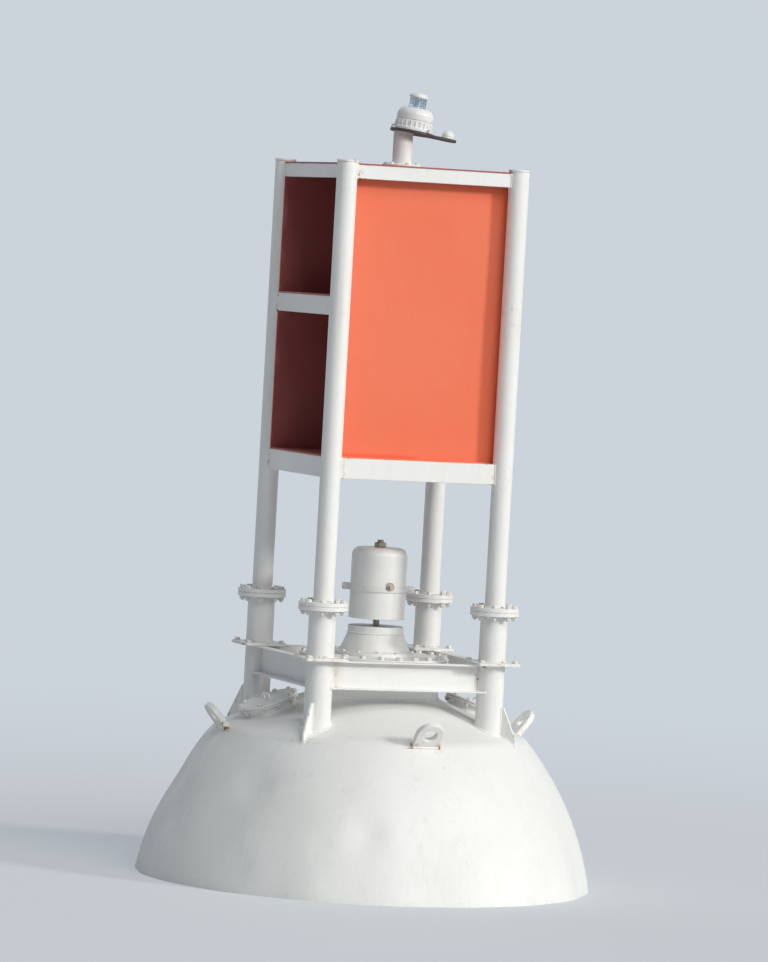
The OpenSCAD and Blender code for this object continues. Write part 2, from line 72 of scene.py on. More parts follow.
# Rows along which a shape's x, y and z come to lie
UPSIDE_DOWN = np.array([[1.0, 0.0, 0.0], [0.0, -1.0, 0.0], [0.0, 0.0, -1.0]])
STANDING = np.array([[1.0, 0.0, 0.0], [0.0, 0.0, 1.0], [0.0, -1.0, 0.0]])
SIDEWAYS = np.array([[1.0, 0.0, 0.0], [0.0, 0.0, 1.0], [0.0, 1.0, 0.0]])

log = logging.getLogger("buoy")


# Shapes as arrays


def arc(centre: Sequence[float], radius: float, start: float, end: float, steps: int) -> Array:
    """Gives points on an arc: centre plus radius times (cos a, sin a), a in even steps of degrees."""
    angle = np.radians(np.linspace(start, end, steps + 1))
    return np.asarray(centre) + radius * np.stack([np.cos(angle), np.sin(angle)], axis=1)


def line(start: Sequence[float], end: Sequence[float], steps: int) -> Array:
    """Gives evenly spaced points from start to end, both included."""
    share = np.linspace(0.0, 1.0, steps + 1)[:, None]
    return np.asarray(start) * (1.0 - share) + np.asarray(end) * share


def turned(angle: float) -> Array:
    """Gives the images of the three axes under a turn about +Z, the angle in degrees."""
    c, s = np.cos(np.radians(angle)), np.sin(np.radians(angle))
    return np.array([[c, s, 0.0], [-s, c, 0.0], [0.0, 0.0, 1.0]])


def tilted(angle: float) -> Array:
    """Gives the images of the three axes under a turn about +Y that lowers +X, in degrees."""
    c, s = np.cos(np.radians(angle)), np.sin(np.radians(angle))
    return np.array([[c, 0.0, -s], [0.0, 1.0, 0.0], [s, 0.0, c]])


def unit(rows: Array) -> Array:
    """Gives each row at a length of 1."""
    return rows / np.maximum(np.linalg.norm(rows, axis=1), 1e-12)[:, None]


@dataclass
class Outline:
    """Points of a plane outline, and how near each lies to a worn edge."""

    points: Array  # one row of two coordinates for each point
    edge: Array  # 1 on a chamfer and 0 away from it, for each point


def trace(
    parts: Sequence[Corner | Array],
    chamfer: float = 0.002,
    wear: float = 0.006,
    closed: bool = False,
    step: float = 0.0,
) -> Outline:
    """Draws an outline through corners and curves and cuts its corners.

    A pair is a corner: it becomes two points, a chamfer back along each side, with one
    more point beyond each where the wear ends. The rows of an array are kept as they are.

    Args:
        parts: corners as pairs, and curves as arrays.
        chamfer: the length that a corner is cut back.
        wear: how far the worn band reaches from the chamfer.
        closed: whether the last point joins the first.
        step: the longest piece to leave whole, or 0 for no limit.

    Returns:
        The outline.
    """
    rows = [np.atleast_2d(np.asarray(part, float)) for part in parts]
    corners = np.concatenate(rows)
    sharp = np.concatenate(
        [np.full(len(row), isinstance(part, tuple)) for part, row in zip(parts, rows)])
    if not closed:
        sharp[[0, -1]] = False
    sides = [np.roll(corners, turn, axis=0) - corners for turn in (1, -1)]
    lengths = [np.maximum(np.linalg.norm(side, axis=1), 1e-9) for side in sides]
    back, ahead = (side / length[:, None] for side, length in zip(sides, lengths))
    cut = np.minimum(chamfer, 0.3 * np.minimum(*lengths))
    reach = np.minimum(cut + wear, 0.45 * np.minimum(*lengths))
    moves = ((back, reach), (back, cut), (ahead, cut), (ahead, reach))
    points = np.stack([corners + side * far[:, None] for side, far in moves], axis=1)
    points[~sharp] = corners[~sharp][:, None, :]
    edge = np.tile([0.0, 1.0, 1.0, 0.0], (len(corners), 1)) * sharp[:, None]
    kept = np.stack([np.ones(len(corners), bool), sharp, sharp, sharp], axis=1)
    outline = Outline(points[kept], edge[kept])
    return divided(outline, step, closed) if step > 0.0 else outline


def divided(outline: Outline, step: float, closed: bool) -> Outline:
    """Adds points along an outline's long pieces.

    The outline is read as a function of the length run along it, and is sampled at its own
    points and at even steps that don't lie close to them.

    Args:
        outline: the outline to divide.
        step: the longest piece to leave whole.
        closed: whether the last point joins the first.

    Returns:
        The divided outline.
    """
    points, edge = outline.points, outline.edge
    if closed:
        points, edge = np.vstack([points, points[:1]]), np.append(edge, edge[:1])
    run = np.concatenate([[0.0], np.cumsum(np.linalg.norm(np.diff(points, axis=0), axis=1))])
    extra = np.linspace(0.0, run[-1], int(np.ceil(run[-1] / step)) + 1)
    near = np.abs(extra[:, None] - run[None, :]).min(axis=1)
    at = np.union1d(run, extra[near > 0.3 * step])
    at = at[:-1] if closed else at
    spread = np.stack([np.interp(at, run, points[:, axis]) for axis in (0, 1)], axis=1)
    return Outline(spread, np.interp(at, run, edge))


def inset(points: Array, distance: float) -> Array:
    """Moves a closed outline's points inwards, each along the mitre of its two sides.

    Args:
        points: the outline.
        distance: how far its sides move.

    Returns:
        The moved points.
    """
    side = np.roll(points, -1, axis=0) - points
    normal = unit(np.stack([side[:, 1], -side[:, 0]], axis=1))
    before = np.roll(normal, 1, axis=0)
    mitre = (normal + before) / np.maximum(1.0 + (normal * before).sum(axis=1), 0.3)[:, None]
    following = np.roll(points, -1, axis=0)
    area = (points[:, 0] * following[:, 1] - following[:, 0] * points[:, 1]).sum()
    return points - np.sign(area) * distance * mitre


def grid_faces(rows: int, columns: int, loop_rows: bool, loop_columns: bool) -> Numbers:
    """Gives the faces between the rows and columns of a grid of points.

    Args:
        rows, columns: the grid's size.
        loop_rows, loop_columns: whether the last one joins the first.

    Returns:
        Four point numbers for each face.
    """
    row = np.arange(rows if loop_rows else rows - 1)[:, None]
    column = np.arange(columns if loop_columns else columns - 1)[None, :]
    next_row, next_column = (row + 1) % rows, (column + 1) % columns
    corners = (row * columns + column, row * columns + next_column,
               next_row * columns + next_column, next_row * columns + column)
    return np.stack(np.broadcast_arrays(*corners), axis=-1).reshape(-1, 4)


@dataclass
class Shape:
    """A closed skin as arrays, before it becomes a mesh."""

    points: Array  # one row of x, y and z for each point
    faces: list[Numbers]  # blocks of point numbers, one row for each face
    edge: Array  # how near each point lies to a worn edge, 0 to 1
    rust: Array  # how much each point rusts, 0 to 1, added to what the weather gives it
    coats: list[int] = field(default_factory=list)  # the number of each block's finish

    def __post_init__(self) -> None:
        """Gives every block the first finish where none is said."""
        self.coats = self.coats or [0] * len(self.faces)

    def moved(self, axes: Array | None = None, place: Sequence[float] = (0.0, 0.0, 0.0)) -> "Shape":
        """Gives the shape with its x, y and z laid along the rows of axes, then shifted."""
        axes = np.eye(3) if axes is None else axes
        return Shape(self.points @ axes + np.asarray(place), self.faces, self.edge, self.rust, self.coats)

    def coated(self, coat: int) -> "Shape":
        """Gives the shape with another finish on all its faces."""
        return Shape(self.points, self.faces, self.edge, self.rust, [coat] * len(self.faces))

    def stamped(self, places: Array, axes: Array) -> "Shape":
        """Gives one shape that holds a copy at each place.

        Args:
            places: one row for each copy.
            axes: for each copy, the three rows along which its x, y and z lie.

        Returns:
            The copies as one shape.
        """
        count, size = len(places), len(self.points)
        points = np.einsum("vi,kij->kvj", self.points, axes) + places[:, None, :]
        shift = (np.arange(count) * size)[:, None, None]
        faces = [(block[None] + shift).reshape(-1, block.shape[1]) for block in self.faces]
        return Shape(points.reshape(-1, 3), faces, np.tile(self.edge, count),
                     np.tile(self.rust, count), self.coats)

    def ringed(self, count: int, radius: float, height: float, start: float = 0.0) -> "Shape":
        """Gives copies of the shape evenly round +Z, each turned with its place.

        Args:
            count: the number of copies.
            radius, height: the circle that they stand on.
            start: the first copy's angle in degrees.

        Returns:
            The copies as one shape.
        """
        angle = np.radians(start) + FULL_TURN * np.arange(count) / count
        c, s, zero, one = np.cos(angle), np.sin(angle), np.zeros(count), np.ones(count)
        axes = np.stack([np.stack([c, s, zero], 1), np.stack([-s, c, zero], 1),
                         np.stack([zero, zero, one], 1)], axis=1)
        return self.stamped(np.stack([radius * c, radius * s, height * one], 1), axes)


def join(*shapes: Shape) -> Shape:
    """Gives several shapes as one.

    Args:
        shapes: the shapes, whose finishes keep their numbers.

    Returns:
        The whole.
    """
    shifts = np.cumsum([0] + [len(shape.points) for shape in shapes[:-1]])
    faces = [block + shift for shape, shift in zip(shapes, shifts) for block in shape.faces]
    coats = [coat for shape in shapes for coat in shape.coats]
    points, edge, rust = (np.concatenate([getattr(shape, key) for shape in shapes])
                          for key in ("points", "edge", "rust"))
    return Shape(points, faces, edge, rust, coats)


def lathe(
    parts: Sequence[Corner | Array] | Outline,
    turns: int = 96,
    chamfer: float = 0.002,
    wear: float = 0.006,
    closed: bool = False,
    step: float = 0.0,
) -> Shape:
    """Turns an outline of radius and height about +Z.

    A point is (r cos a, r sin a, h), with r and h along the outline and a round the axis.

    Args:
        parts: the outline, or what trace draws it from.
        turns: the number of columns round the axis.
        chamfer, wear, step: as in trace.
        closed: whether the outline is a loop that doesn't touch the axis.

    Returns:
        The turned shape.
    """
    outline = parts if isinstance(parts, Outline) else trace(parts, chamfer, wear, closed, step)
    angle = FULL_TURN * np.arange(turns) / turns
    radius, height = outline.points[:, :1], outline.points[:, 1:]
    points = np.stack([radius * np.cos(angle), radius * np.sin(angle),
                       np.broadcast_to(height, (len(height), turns))], axis=-1)
    faces = grid_faces(len(outline.points), turns, closed, True)
    edge = np.repeat(outline.edge, turns)
    return Shape(points.reshape(-1, 3), [faces], edge, np.zeros(len(edge)))


def drum(
    radius: float,
    low: float,
    high: float,
    turns: int = 64,
    chamfer: float = 0.002,
    wear: float = 0.006,
    step: float = 0.0,
    inner: float = 0.0,
) -> Shape:
    """Turns a rectangle about +Z.

    Args:
        radius: the drum's radius.
        low, high: the heights of its faces.
        turns: the number of columns round the axis.
        chamfer, wear, step: as in trace.
        inner: the radius of the hole down its middle, or 0 for none.

    Returns:
        The drum, or a ring where it has a hole.
    """
    corners = [(inner, low), (radius, low), (radius, high), (inner, high)]
    return lathe(corners, turns, chamfer, wear, inner > 0.0, step)


def stacked(rows: Sequence[tuple[Array, float, float, float]]) -> tuple[Array, Array]:
    """Stacks closed outlines of as many points above each other.

    Args:
        rows: for each ring its outline, how far it is moved inwards, its height and its wear.

    Returns:
        The points, and how near each lies to a worn edge.
    """
    rings = [np.column_stack([inset(outline, distance), np.full(len(outline), height)])
             for outline, distance, height, _ in rows]
    return np.concatenate(rings), np.repeat([row[3] for row in rows], len(rows[0][0]))


def plate(
    outline: Outline | Array, low: float, high: float, chamfer: float = 0.002, wear: float = 0.0
) -> Shape:
    """Carries a closed outline straight up Z, with both rims cut back by a chamfer.

    Each ring of points is the outline, moved inwards at the rims, at one height.

    Args:
        outline: the closed outline.
        low, high: the heights of the faces.
        chamfer: the length that the rims are cut back.
        wear: the width of the worn band on the faces, or 0 for none.

    Returns:
        The plate.
    """
    points = outline.points if isinstance(outline, Outline) else outline
    rim = [(points, chamfer, 0.0, 1.0), (points, 0.0, chamfer, 1.0)]
    if wear > 0.0:
        rim.insert(0, (points, chamfer + wear, 0.0, 0.0))
    rows = [(flat, cut, low + up, worn) for flat, cut, up, worn in rim]
    rows += [(flat, cut, high - up, worn) for flat, cut, up, worn in rim[::-1]]
    solid, edge = stacked(rows)
    cap = np.arange(len(points))[None, :]
    faces = [grid_faces(len(rows), len(points), False, True), cap, cap + len(solid) - len(points)]
    return Shape(solid, faces, edge, np.zeros(len(solid)))


def drilled(outer: Array, inner: Array, low: float, high: float, chamfer: float = 0.004) -> Shape:
    """Carries an outline with a hole up Z, as rings that run from the rim to the hole and back.

    Args:
        outer: the closed outer outline.
        inner: the hole's outline, with as many points, in the same order.
        low, high: the heights of the faces.
        chamfer: the length that all rims are cut back.

    Returns:
        The drilled plate.
    """
    foot, head = low + chamfer, high - chamfer
    points, edge = stacked((
        (outer, chamfer, low, 1.0), (outer, 0.0, foot, 1.0), (outer, 0.0, head, 1.0),
        (outer, chamfer, high, 1.0), (inner, -chamfer, high, 1.0), (inner, 0.0, head, 1.0),
        (inner, 0.0, foot, 1.0), (inner, -chamfer, low, 1.0)))
    faces = grid_faces(len(points) // len(outer), len(outer), True, True)
    return Shape(points, [faces], edge, np.zeros(len(points)))


def tube(path: Array, up: Array, radius: Array | float, closed: bool, sides: int = 8) -> Shape:
    """Carries a circle along a path.

    At each point of the path the circle lies in the plane of up and of the tangent's cross
    product with up, so a point is path + r (cos a, sin a) in that plane.

    Args:
        path: one row for each point of the path.
        up: a direction square to the path, one row for all or one for each point.
        radius: the circle's radius, one value or one for each point.
        closed: whether the last point joins the first.
        sides: the number of points round the circle.

    Returns:
        The tube, with flat ends where it isn't closed.
    """
    ahead = np.roll(path, -1, axis=0) - np.roll(path, 1, axis=0)
    if not closed:
        ahead[0], ahead[-1] = path[1] - path[0], path[-1] - path[-2]
    ahead = unit(ahead)
    up = np.broadcast_to(up, path.shape)
    up = unit(up - (up * ahead).sum(axis=1)[:, None] * ahead)
    across = np.cross(ahead, up)
    angle = FULL_TURN * np.arange(sides)[None, :, None] / sides
    radius = np.broadcast_to(np.asarray(radius, float), (len(path),))[:, None, None]
    ring = up[:, None, :] * np.cos(angle) + across[:, None, :] * np.sin(angle)
    points = (path[:, None, :] + radius * ring).reshape(-1, 3)
    faces = [grid_faces(len(path), sides, closed, True)]
    if not closed:
        cap = np.arange(sides)[None, :]
        faces += [cap, cap + (len(path) - 1) * sides]
    return Shape(points, faces, np.zeros(len(points)), np.zeros(len(points)))


def bead(path: Array, up: Array, size: float = 0.007, closed: bool = True) -> Shape:
    """Lays a weld bead along a path, a tube whose radius swells and shrinks in short waves.

    The path is sampled every 5 mm, and the radius is size (0.85 + 0.15 |sin(run / pitch)|).

    Args:
        path: one row for each point of the seam.
        up: the direction out of the seam.
        size: the bead's radius.
        closed: whether the seam is a loop.

    Returns:
        The bead.
    """
    spacing, pitch = 0.005, 0.0032
    up = np.broadcast_to(up, path.shape)
    loop, up_loop = (np.vstack([row, row[:1]]) if closed else row for row in (path, up))
    run = np.concatenate([[0.0], np.cumsum(np.linalg.norm(np.diff(loop, axis=0), axis=1))])
    at = np.linspace(0.0, run[-1], max(8, int(run[-1] / spacing)))
    at = at[:-1] if closed else at
    smooth, lift = (np.stack([np.interp(at, run, rows[:, axis]) for axis in range(3)], axis=1)
                    for rows in (loop, up_loop))
    shape = tube(smooth, lift, size * (0.85 + 0.15 * np.abs(np.sin(at / pitch))), closed, sides=6)
    shape.rust = shape.rust + 0.12
    shape.edge = shape.edge + 0.5
    return shape


def circle(radius: float, height: float = 0.0, steps: int = 64) -> Array:
    """Gives a level circle of points about +Z."""
    flat = arc((0.0, 0.0), radius, 0.0, 360.0, steps)[:-1]
    return np.column_stack([flat, np.full(len(flat), height)])


def ring_bead(radius: float, height: float, size: float, steps: int = 64) -> Shape:
    """Lays a weld bead round +Z."""
    return bead(circle(radius, height, steps), UP, size)


def seam(start: Sequence[float], end: Sequence[float], up: Array, size: float, count: int) -> Shape:
    """Lays a straight weld bead from start to end, through a count of points."""
    path = np.stack([np.linspace(a, b, count) for a, b in zip(start, end)], axis=1)
    return bead(path, up, size, closed=False)


def rounded_box(half_x: float, half_y: float, radius: float, steps: int = 4) -> Array:
    """Gives a rectangle's outline with round corners.

    Args:
        half_x, half_y: half its sides.
        radius: the corners' radius.
        steps: the number of chords in a corner.

    Returns:
        One row for each point.
    """
    x, y = half_x - radius, half_y - radius
    quarters = ((x, y, 0.0), (-x, y, 90.0), (-x, -y, 180.0), (x, -y, 270.0))
    return np.concatenate([arc((cx, cy), radius, a, a + 90.0, steps) for cx, cy, a in quarters])


@dataclass(frozen=True)
class Bolt:
    """A hexagon bolt with its washer, and its nut with the bolt's end."""

    size: float  # the thread's diameter, which all else is in proportion to

    def turned_part(self, rows: Sequence[Corner], turns: int, chamfer: float = 0.02) -> Shape:
        """Turns an outline that is given in thread diameters."""
        return lathe([(r * self.size, z * self.size) for r, z in rows], turns, chamfer * self.size, 0.0)

    def fastener(self, *parts: Shape) -> Shape:
        """Stands parts on a washer and gives them rust, most of it at the foot.

        Args:
            parts: the parts, in place above the washer.

        Returns:
            The whole.
        """
        washer = self.turned_part([(0.0, 0.0), (0.95, 0.0), (0.95, 0.15), (0.0, 0.15)], 14, 0.03)
        shape = join(washer, *parts)
        foot = 1.0 - np.clip(shape.points[:, 2] / (0.5 * self.size), 0.0, 1.0)
        return Shape(shape.points, shape.faces, 0.5 * shape.edge, 0.05 + 0.13 * foot, shape.coats)

    def head(self) -> Shape:
        """Gives a washer and a hexagon head that stand on z = 0."""
        rows = [(0.0, 0.15), (0.87, 0.15), (0.87, 0.72), (0.76, 0.8), (0.0, 0.8)]
        return self.fastener(self.turned_part(rows, 6))

    def nut(self) -> Shape:
        """Gives a washer, a hexagon nut and the bolt's end, standing on z = 0.

        Returns:
            The nut.
        """
        nut = [(0.0, 0.15), (0.78, 0.15), (0.87, 0.22), (0.87, 0.88), (0.78, 0.95), (0.0, 0.95)]
        end = [(0.0, 0.95), (0.5, 0.95), (0.5, 1.32), (0.42, 1.4), (0.0, 1.4)]
        return self.fastener(self.turned_part(nut, 6), self.turned_part(end, 10))

    def through(self, count: int, radius: float, top: float, low: float, start: float = 0.0) -> Shape:
        """Gives bolts in a circle, their heads at one height and their nuts below at another.

        Args:
            count: the number of bolts.
            radius: the circle's radius.
            top, low: the heights that heads and nuts lie on.
            start: the first bolt's angle in degrees.

        Returns:
            The bolts.
        """
        nuts = self.nut().moved(UPSIDE_DOWN).ringed(count, radius, low, start)
        return join(self.head().ringed(count, radius, top, start), nuts)


# Rust that the weather draws from welds, eyes and bolts


@dataclass
class Weather:
    """Where rust starts, and how it blooms there and runs down.

    A source is x, y, z, its strength, the radius of its bloom and the length of the run below.
    """

    sources: list[tuple[float, float, float, float, float, float]] = field(default_factory=list)

    def add(self, place: Sequence[float], strength: float, bloom: float, run: float) -> None:
        """Notes one place where rust starts."""
        self.sources.append((*place, strength, bloom, run))

    def rust(self, points: Array) -> Array:
        """Works out the rust at each point.

        A source gives strength exp(-(d / bloom)^2) about itself, d being the distance, and below
        itself strength exp(-(side / width)^2) exp(-drop / run), the width growing with the drop.

        Args:
            points: one row for each point.

        Returns:
            The rust at each point, at most 1.
        """
        total = np.zeros(len(points))
        for x, y, z, strength, bloom, run in self.sources:
            offset = points - (x, y, z)
            radius = max(np.hypot(x, y), NEAR_ZERO)
            outward = (offset[:, 0] * x + offset[:, 1] * y) / radius
            side = (-offset[:, 0] * y + offset[:, 1] * x) / radius
            drop = np.maximum(-offset[:, 2], 0.0)
            near = np.exp(-(offset ** 2).sum(axis=1) / bloom ** 2)
            width = 0.45 * bloom + 0.05 * drop
            below = np.exp(-(side / width) ** 2 - drop / run) * (drop > 0.0)
            close = np.exp(-(np.minimum(outward, 0.0) / 0.15) ** 2)
            total = np.maximum(total, strength * np.maximum(near, 0.8 * below * close))
        return np.minimum(total, 1.0)


# Materials


class Tree:
    """A node tree, with short calls that add its nodes and join them."""

    def __init__(self, tree: bpy.types.NodeTree) -> None:
        """Keeps the tree of a material, of the world or of a group."""
        self.tree = tree

    @classmethod
    def fresh(cls, owner: bpy.types.Material | bpy.types.World) -> "Tree":
        """Gives a material's or the world's tree, emptied.

        Args:
            owner: the material or the world.

        Returns:
            Its tree.
        """
        owner.use_nodes = True
        owner.node_tree.nodes.clear()
        return cls(owner.node_tree)

    def feed(self, socket: Socket, value: object) -> None:
        """Joins an output to an input, or sets the input's value.

        Args:
            socket: the input.
            value: an output, or a value, where a colour is taken as opaque.
        """
        if isinstance(value, bpy.types.NodeSocket):
            self.tree.links.new(value, socket)
        else:
            socket.default_value = (*value, 1.0) if socket.type == "RGBA" else value

    def add(self, kind: str, inputs: dict | None = None, **settings: object) -> bpy.types.Node:
        """Adds a node.

        Args:
            kind: the node's type.
            inputs: for each input's name or number, a value or the output that feeds it.
            settings: the node's own settings.

        Returns:
            The node.
        """
        node = self.tree.nodes.new(kind)
        for name, value in settings.items():
            setattr(node, name, value)
        for name, value in (inputs or {}).items():
            self.feed(node.inputs[name], value)
        return node

    def math(self, operation: str, a: Socket | float, b: Socket | float, clamp: bool = False) -> Socket:
        """Adds a Math node and gives its output."""
        node = self.add("ShaderNodeMath", {0: a, 1: b}, operation=operation, use_clamp=clamp)
        return node.outputs[0]

    def plus(self, a: Socket | float, b: Socket | float, clamp: bool = False) -> Socket:
        """Gives a plus b."""
        return self.math("ADD", a, b, clamp)

    def times(self, a: Socket | float, b: Socket | float, clamp: bool = False) -> Socket:
        """Gives a times b."""
        return self.math("MULTIPLY", a, b, clamp)

    def mix(self, share: Socket | float, a: Socket | Colour, b: Socket | Colour,
            blend: str = "MIX") -> Socket:
        """Mixes two colours, the share being the second one's."""
        colours = {0: share, 6: a, 7: b}
        return self.add("ShaderNodeMix", colours, data_type="RGBA", blend_type=blend).outputs[2]

    def noise(self, place: Socket, scale: float, detail: float, roughness: float) -> Socket:
        """Adds a Noise Texture and gives its value."""
        inputs = {"Vector": place, "Scale": scale, "Detail": detail, "Roughness": roughness}
        return self.add("ShaderNodeTexNoise", inputs).outputs[0]

    def stretched(self, place: Socket, across: float, along: float) -> Socket:
        """Gives the place with its x and y scaled by across and its z by along."""
        scale = {"Vector": place, "Scale": (across, across, along)}
        return self.add("ShaderNodeMapping", scale).outputs[0]

    def between(self, value: Socket, low: float, high: float, to_low: float = 0.0,
                to_high: float = 1.0) -> Socket:
        """Maps a value smoothly from between low and high to between to_low and to_high."""
        inputs = {"Value": value, "From Min": low, "From Max": high, "To Min": to_low, "To Max": to_high}
        return self.add("ShaderNodeMapRange", inputs, interpolation_type="SMOOTHSTEP").outputs["Result"]


class Effect:
    """A shader node group that more than one finish uses, built when it is first asked for."""

    name = "effect"
    takes: tuple[tuple[str, str, object], ...] = ()
    gives: tuple[tuple[str, str], ...] = ()

    @classmethod
    def group(cls) -> bpy.types.NodeTree:
        """Gives the group, with its named inputs and outputs.

        Returns:
            The group.
        """
        found = bpy.data.node_groups.get(cls.name)
        if found:
            return found
        group = bpy.data.node_groups.new(cls.name, "ShaderNodeTree")
        for name, kind, value in cls.takes:
            socket = group.interface.new_socket(name, in_out="INPUT", socket_type="NodeSocket" + kind)
            if value is not None:
                socket.default_value = value
        for name, kind in cls.gives:
            group.interface.new_socket(name, in_out="OUTPUT", socket_type="NodeSocket" + kind)
        tree = Tree(group)
        tree.add("NodeGroupOutput", cls.wire(tree, tree.add("NodeGroupInput").outputs))
        return group

    @classmethod
    def wire(cls, tree: Tree, inputs: bpy.types.NodeOutputs) -> dict[str, Socket]:
        """Builds the inside of the group and gives the sockets for its outputs."""
        raise NotImplementedError

    @classmethod
    def use(cls, tree: Tree, **inputs: object) -> bpy.types.NodeOutputs:
        """Places the group in a material's tree, with its inputs named in lower case."""
        named = {name.replace("_", " ").capitalize(): value for name, value in inputs.items()}
        return tree.add("ShaderNodeGroup", named, node_tree=cls.group()).outputs


class PaintFilm(Effect):
    """Brushed paint: cloudy fading, small specks and the dimples that a roller leaves."""

    name = "paint_film"
    takes = (("Place", "Vector", None), ("Colour", "Color", None), ("Faded", "Color", None),
             ("Fading", "Float", 0.2), ("Sheen", "Float", 0.45))
    gives = (("Colour", "Color"), ("Roughness", "Float"), ("Height", "Float"))
    grime = (0.72, 0.71, 0.68)

    @classmethod
    def wire(cls, tree: Tree, inputs: bpy.types.NodeOutputs) -> dict[str, Socket]:
        """Clouds mix the paint with its faded colour, and fine noise gives specks and dimples.

        Args:
            tree, inputs: the group's tree, and what it takes.

        Returns:
            What it gives.
        """
        place = inputs["Place"]
        clouds = tree.between(tree.noise(place, 1.7, 4.0, 0.55), 0.30, 0.72)
        fine = tree.noise(place, 46.0, 4.0, 0.6)
        colour = tree.mix(tree.times(clouds, inputs["Fading"]), inputs["Colour"], inputs["Faded"])
        specks = tree.between(fine, 0.25, 0.75, 0.0, 0.10)
        colour = tree.mix(specks, colour, tree.mix(1.0, colour, cls.grime, "MULTIPLY"))
        height = tree.plus(tree.times(fine, 0.6), tree.times(tree.noise(place, 240.0, 2.0, 0.5), 0.4))
        shine = tree.plus(tree.times(clouds, 0.16), -0.08)
        return {"Colour": colour, "Roughness": tree.plus(inputs["Sheen"], shine, True), "Height": height}


class Rust(Effect):
    """Rust that breaks through paint: dark cores on bright brown, in a thin brown stain."""

    name = "rust"
    takes = (("Place", "Vector", None), ("Colour", "Color", None), ("Stain", "Float", 0.0),
             ("Edge", "Float", 0.0), ("Amount", "Float", 1.0))
    gives = (("Colour", "Color"), ("Core", "Float"), ("Height", "Float"))
    dark, bright, stain = (0.13, 0.045, 0.018), (0.40, 0.155, 0.05), (0.52, 0.30, 0.14)

    @classmethod
    def wire(cls, tree: Tree, inputs: bpy.types.NodeOutputs) -> dict[str, Socket]:
        """Noise is lifted by the stain and the edge; where it passes a level, rust shows.

        Args:
            tree, inputs: the group's tree, and what it takes.

        Returns:
            What it gives.
        """
        place = inputs["Place"]
        fine = tree.noise(place, 190.0, 4.0, 0.6)
        push = tree.times(tree.plus(inputs["Stain"], tree.times(inputs["Edge"], 0.20)), inputs["Amount"])
        level = tree.plus(tree.noise(place, 34.0, 6.0, 0.62), tree.times(push, 0.62))
        core = tree.between(level, 0.80, 0.88)
        colour = tree.mix(tree.between(level, 0.66, 0.98, 0.0, 0.55), inputs["Colour"], cls.stain)
        colour = tree.mix(core, colour, tree.mix(tree.between(fine, 0.35, 0.65), cls.dark, cls.bright))
        return {"Colour": colour, "Core": core, "Height": tree.times(core, fine)}


class Runs(Effect):
    """Thin streaks that water leaves down an upright face."""

    name = "runs"
    takes = (("Place", "Vector", None), ("Colour", "Color", None), ("Stain", "Float", 0.0),
             ("Run colour", "Color", None), ("Amount", "Float", 0.5))
    gives = (("Colour", "Color"),)

    @classmethod
    def wire(cls, tree: Tree, inputs: bpy.types.NodeOutputs) -> dict[str, Socket]:
        """Noise drawn out along Z is cut to streaks, and the stain says how strong they are.

        Args:
            tree, inputs: the group's tree, and what it takes.

        Returns:
            What it gives.
        """
        drawn = tree.noise(tree.stretched(inputs["Place"], 38.0, 1.6), 1.0, 3.0, 0.55)
        broad = tree.noise(tree.stretched(inputs["Place"], 9.0, 0.9), 1.0, 2.0, 0.5)
        streaks = tree.times(tree.between(drawn, 0.46, 0.70), tree.between(broad, 0.40, 0.62))
        base = tree.plus(tree.times(inputs["Stain"], 1.6), 0.10)
        share = tree.times(tree.times(streaks, base), inputs["Amount"], True)
        return {"Colour": tree.mix(share, inputs["Colour"], inputs["Run colour"])}


class Finish:
    """What every finish has: a name, and a material of its own, made once."""

    name: str

    def material(self) -> bpy.types.Material:
        """Gives the material, built when it is first asked for.

        Returns:
            The material.
        """
        found = bpy.data.materials.get(self.name)
        if found:
            return found
        made = bpy.data.materials.new(self.name)
        tree = Tree.fresh(made)
        tree.add("ShaderNodeOutputMaterial", {"Surface": self.shader(tree)})
        return made

    def shader(self, tree: Tree) -> Socket:
        """Builds the shader and gives its output."""
        raise NotImplementedError

    @staticmethod
    def place(tree: Tree) -> Socket:
        """Gives the object's own coordinates, which are the buoy's."""
        return tree.add("ShaderNodeTexCoord").outputs["Object"]

    @staticmethod
    def carried(tree: Tree, name: str) -> Socket:
        """Gives a value that the mesh carries at each point, or 0 where it has none."""
        return tree.add("ShaderNodeAttribute", attribute_name=name).outputs["Fac"]

    def rusted(self, tree: Tree, place: Socket, colour: Socket, amount: float) -> bpy.types.NodeOutputs:
        """Lays rust over a colour, by what the mesh carries."""
        return Rust.use(tree, place=place, colour=colour, stain=self.carried(tree, "rust"),
                        edge=self.carried(tree, "edge"), amount=amount)

    @staticmethod
    def principled(tree: Tree, height: Socket | None, bump: float, inputs: dict) -> Socket:
        """Adds the Principled BSDF, with a Bump node where there is a height.

        Args:
            tree: the material's tree.
            height: the height in bump units, or None.
            bump: the bump's distance in metres.
            inputs: the shader's other inputs.

        Returns:
            The shader's output.
        """
        if height is not None:
            node = tree.add("ShaderNodeBump", {"Height": height, "Distance": bump, "Strength": 1.0})
            inputs = {**inputs, "Normal": node.outputs["Normal"]}
        return tree.add("ShaderNodeBsdfPrincipled", inputs).outputs[0]


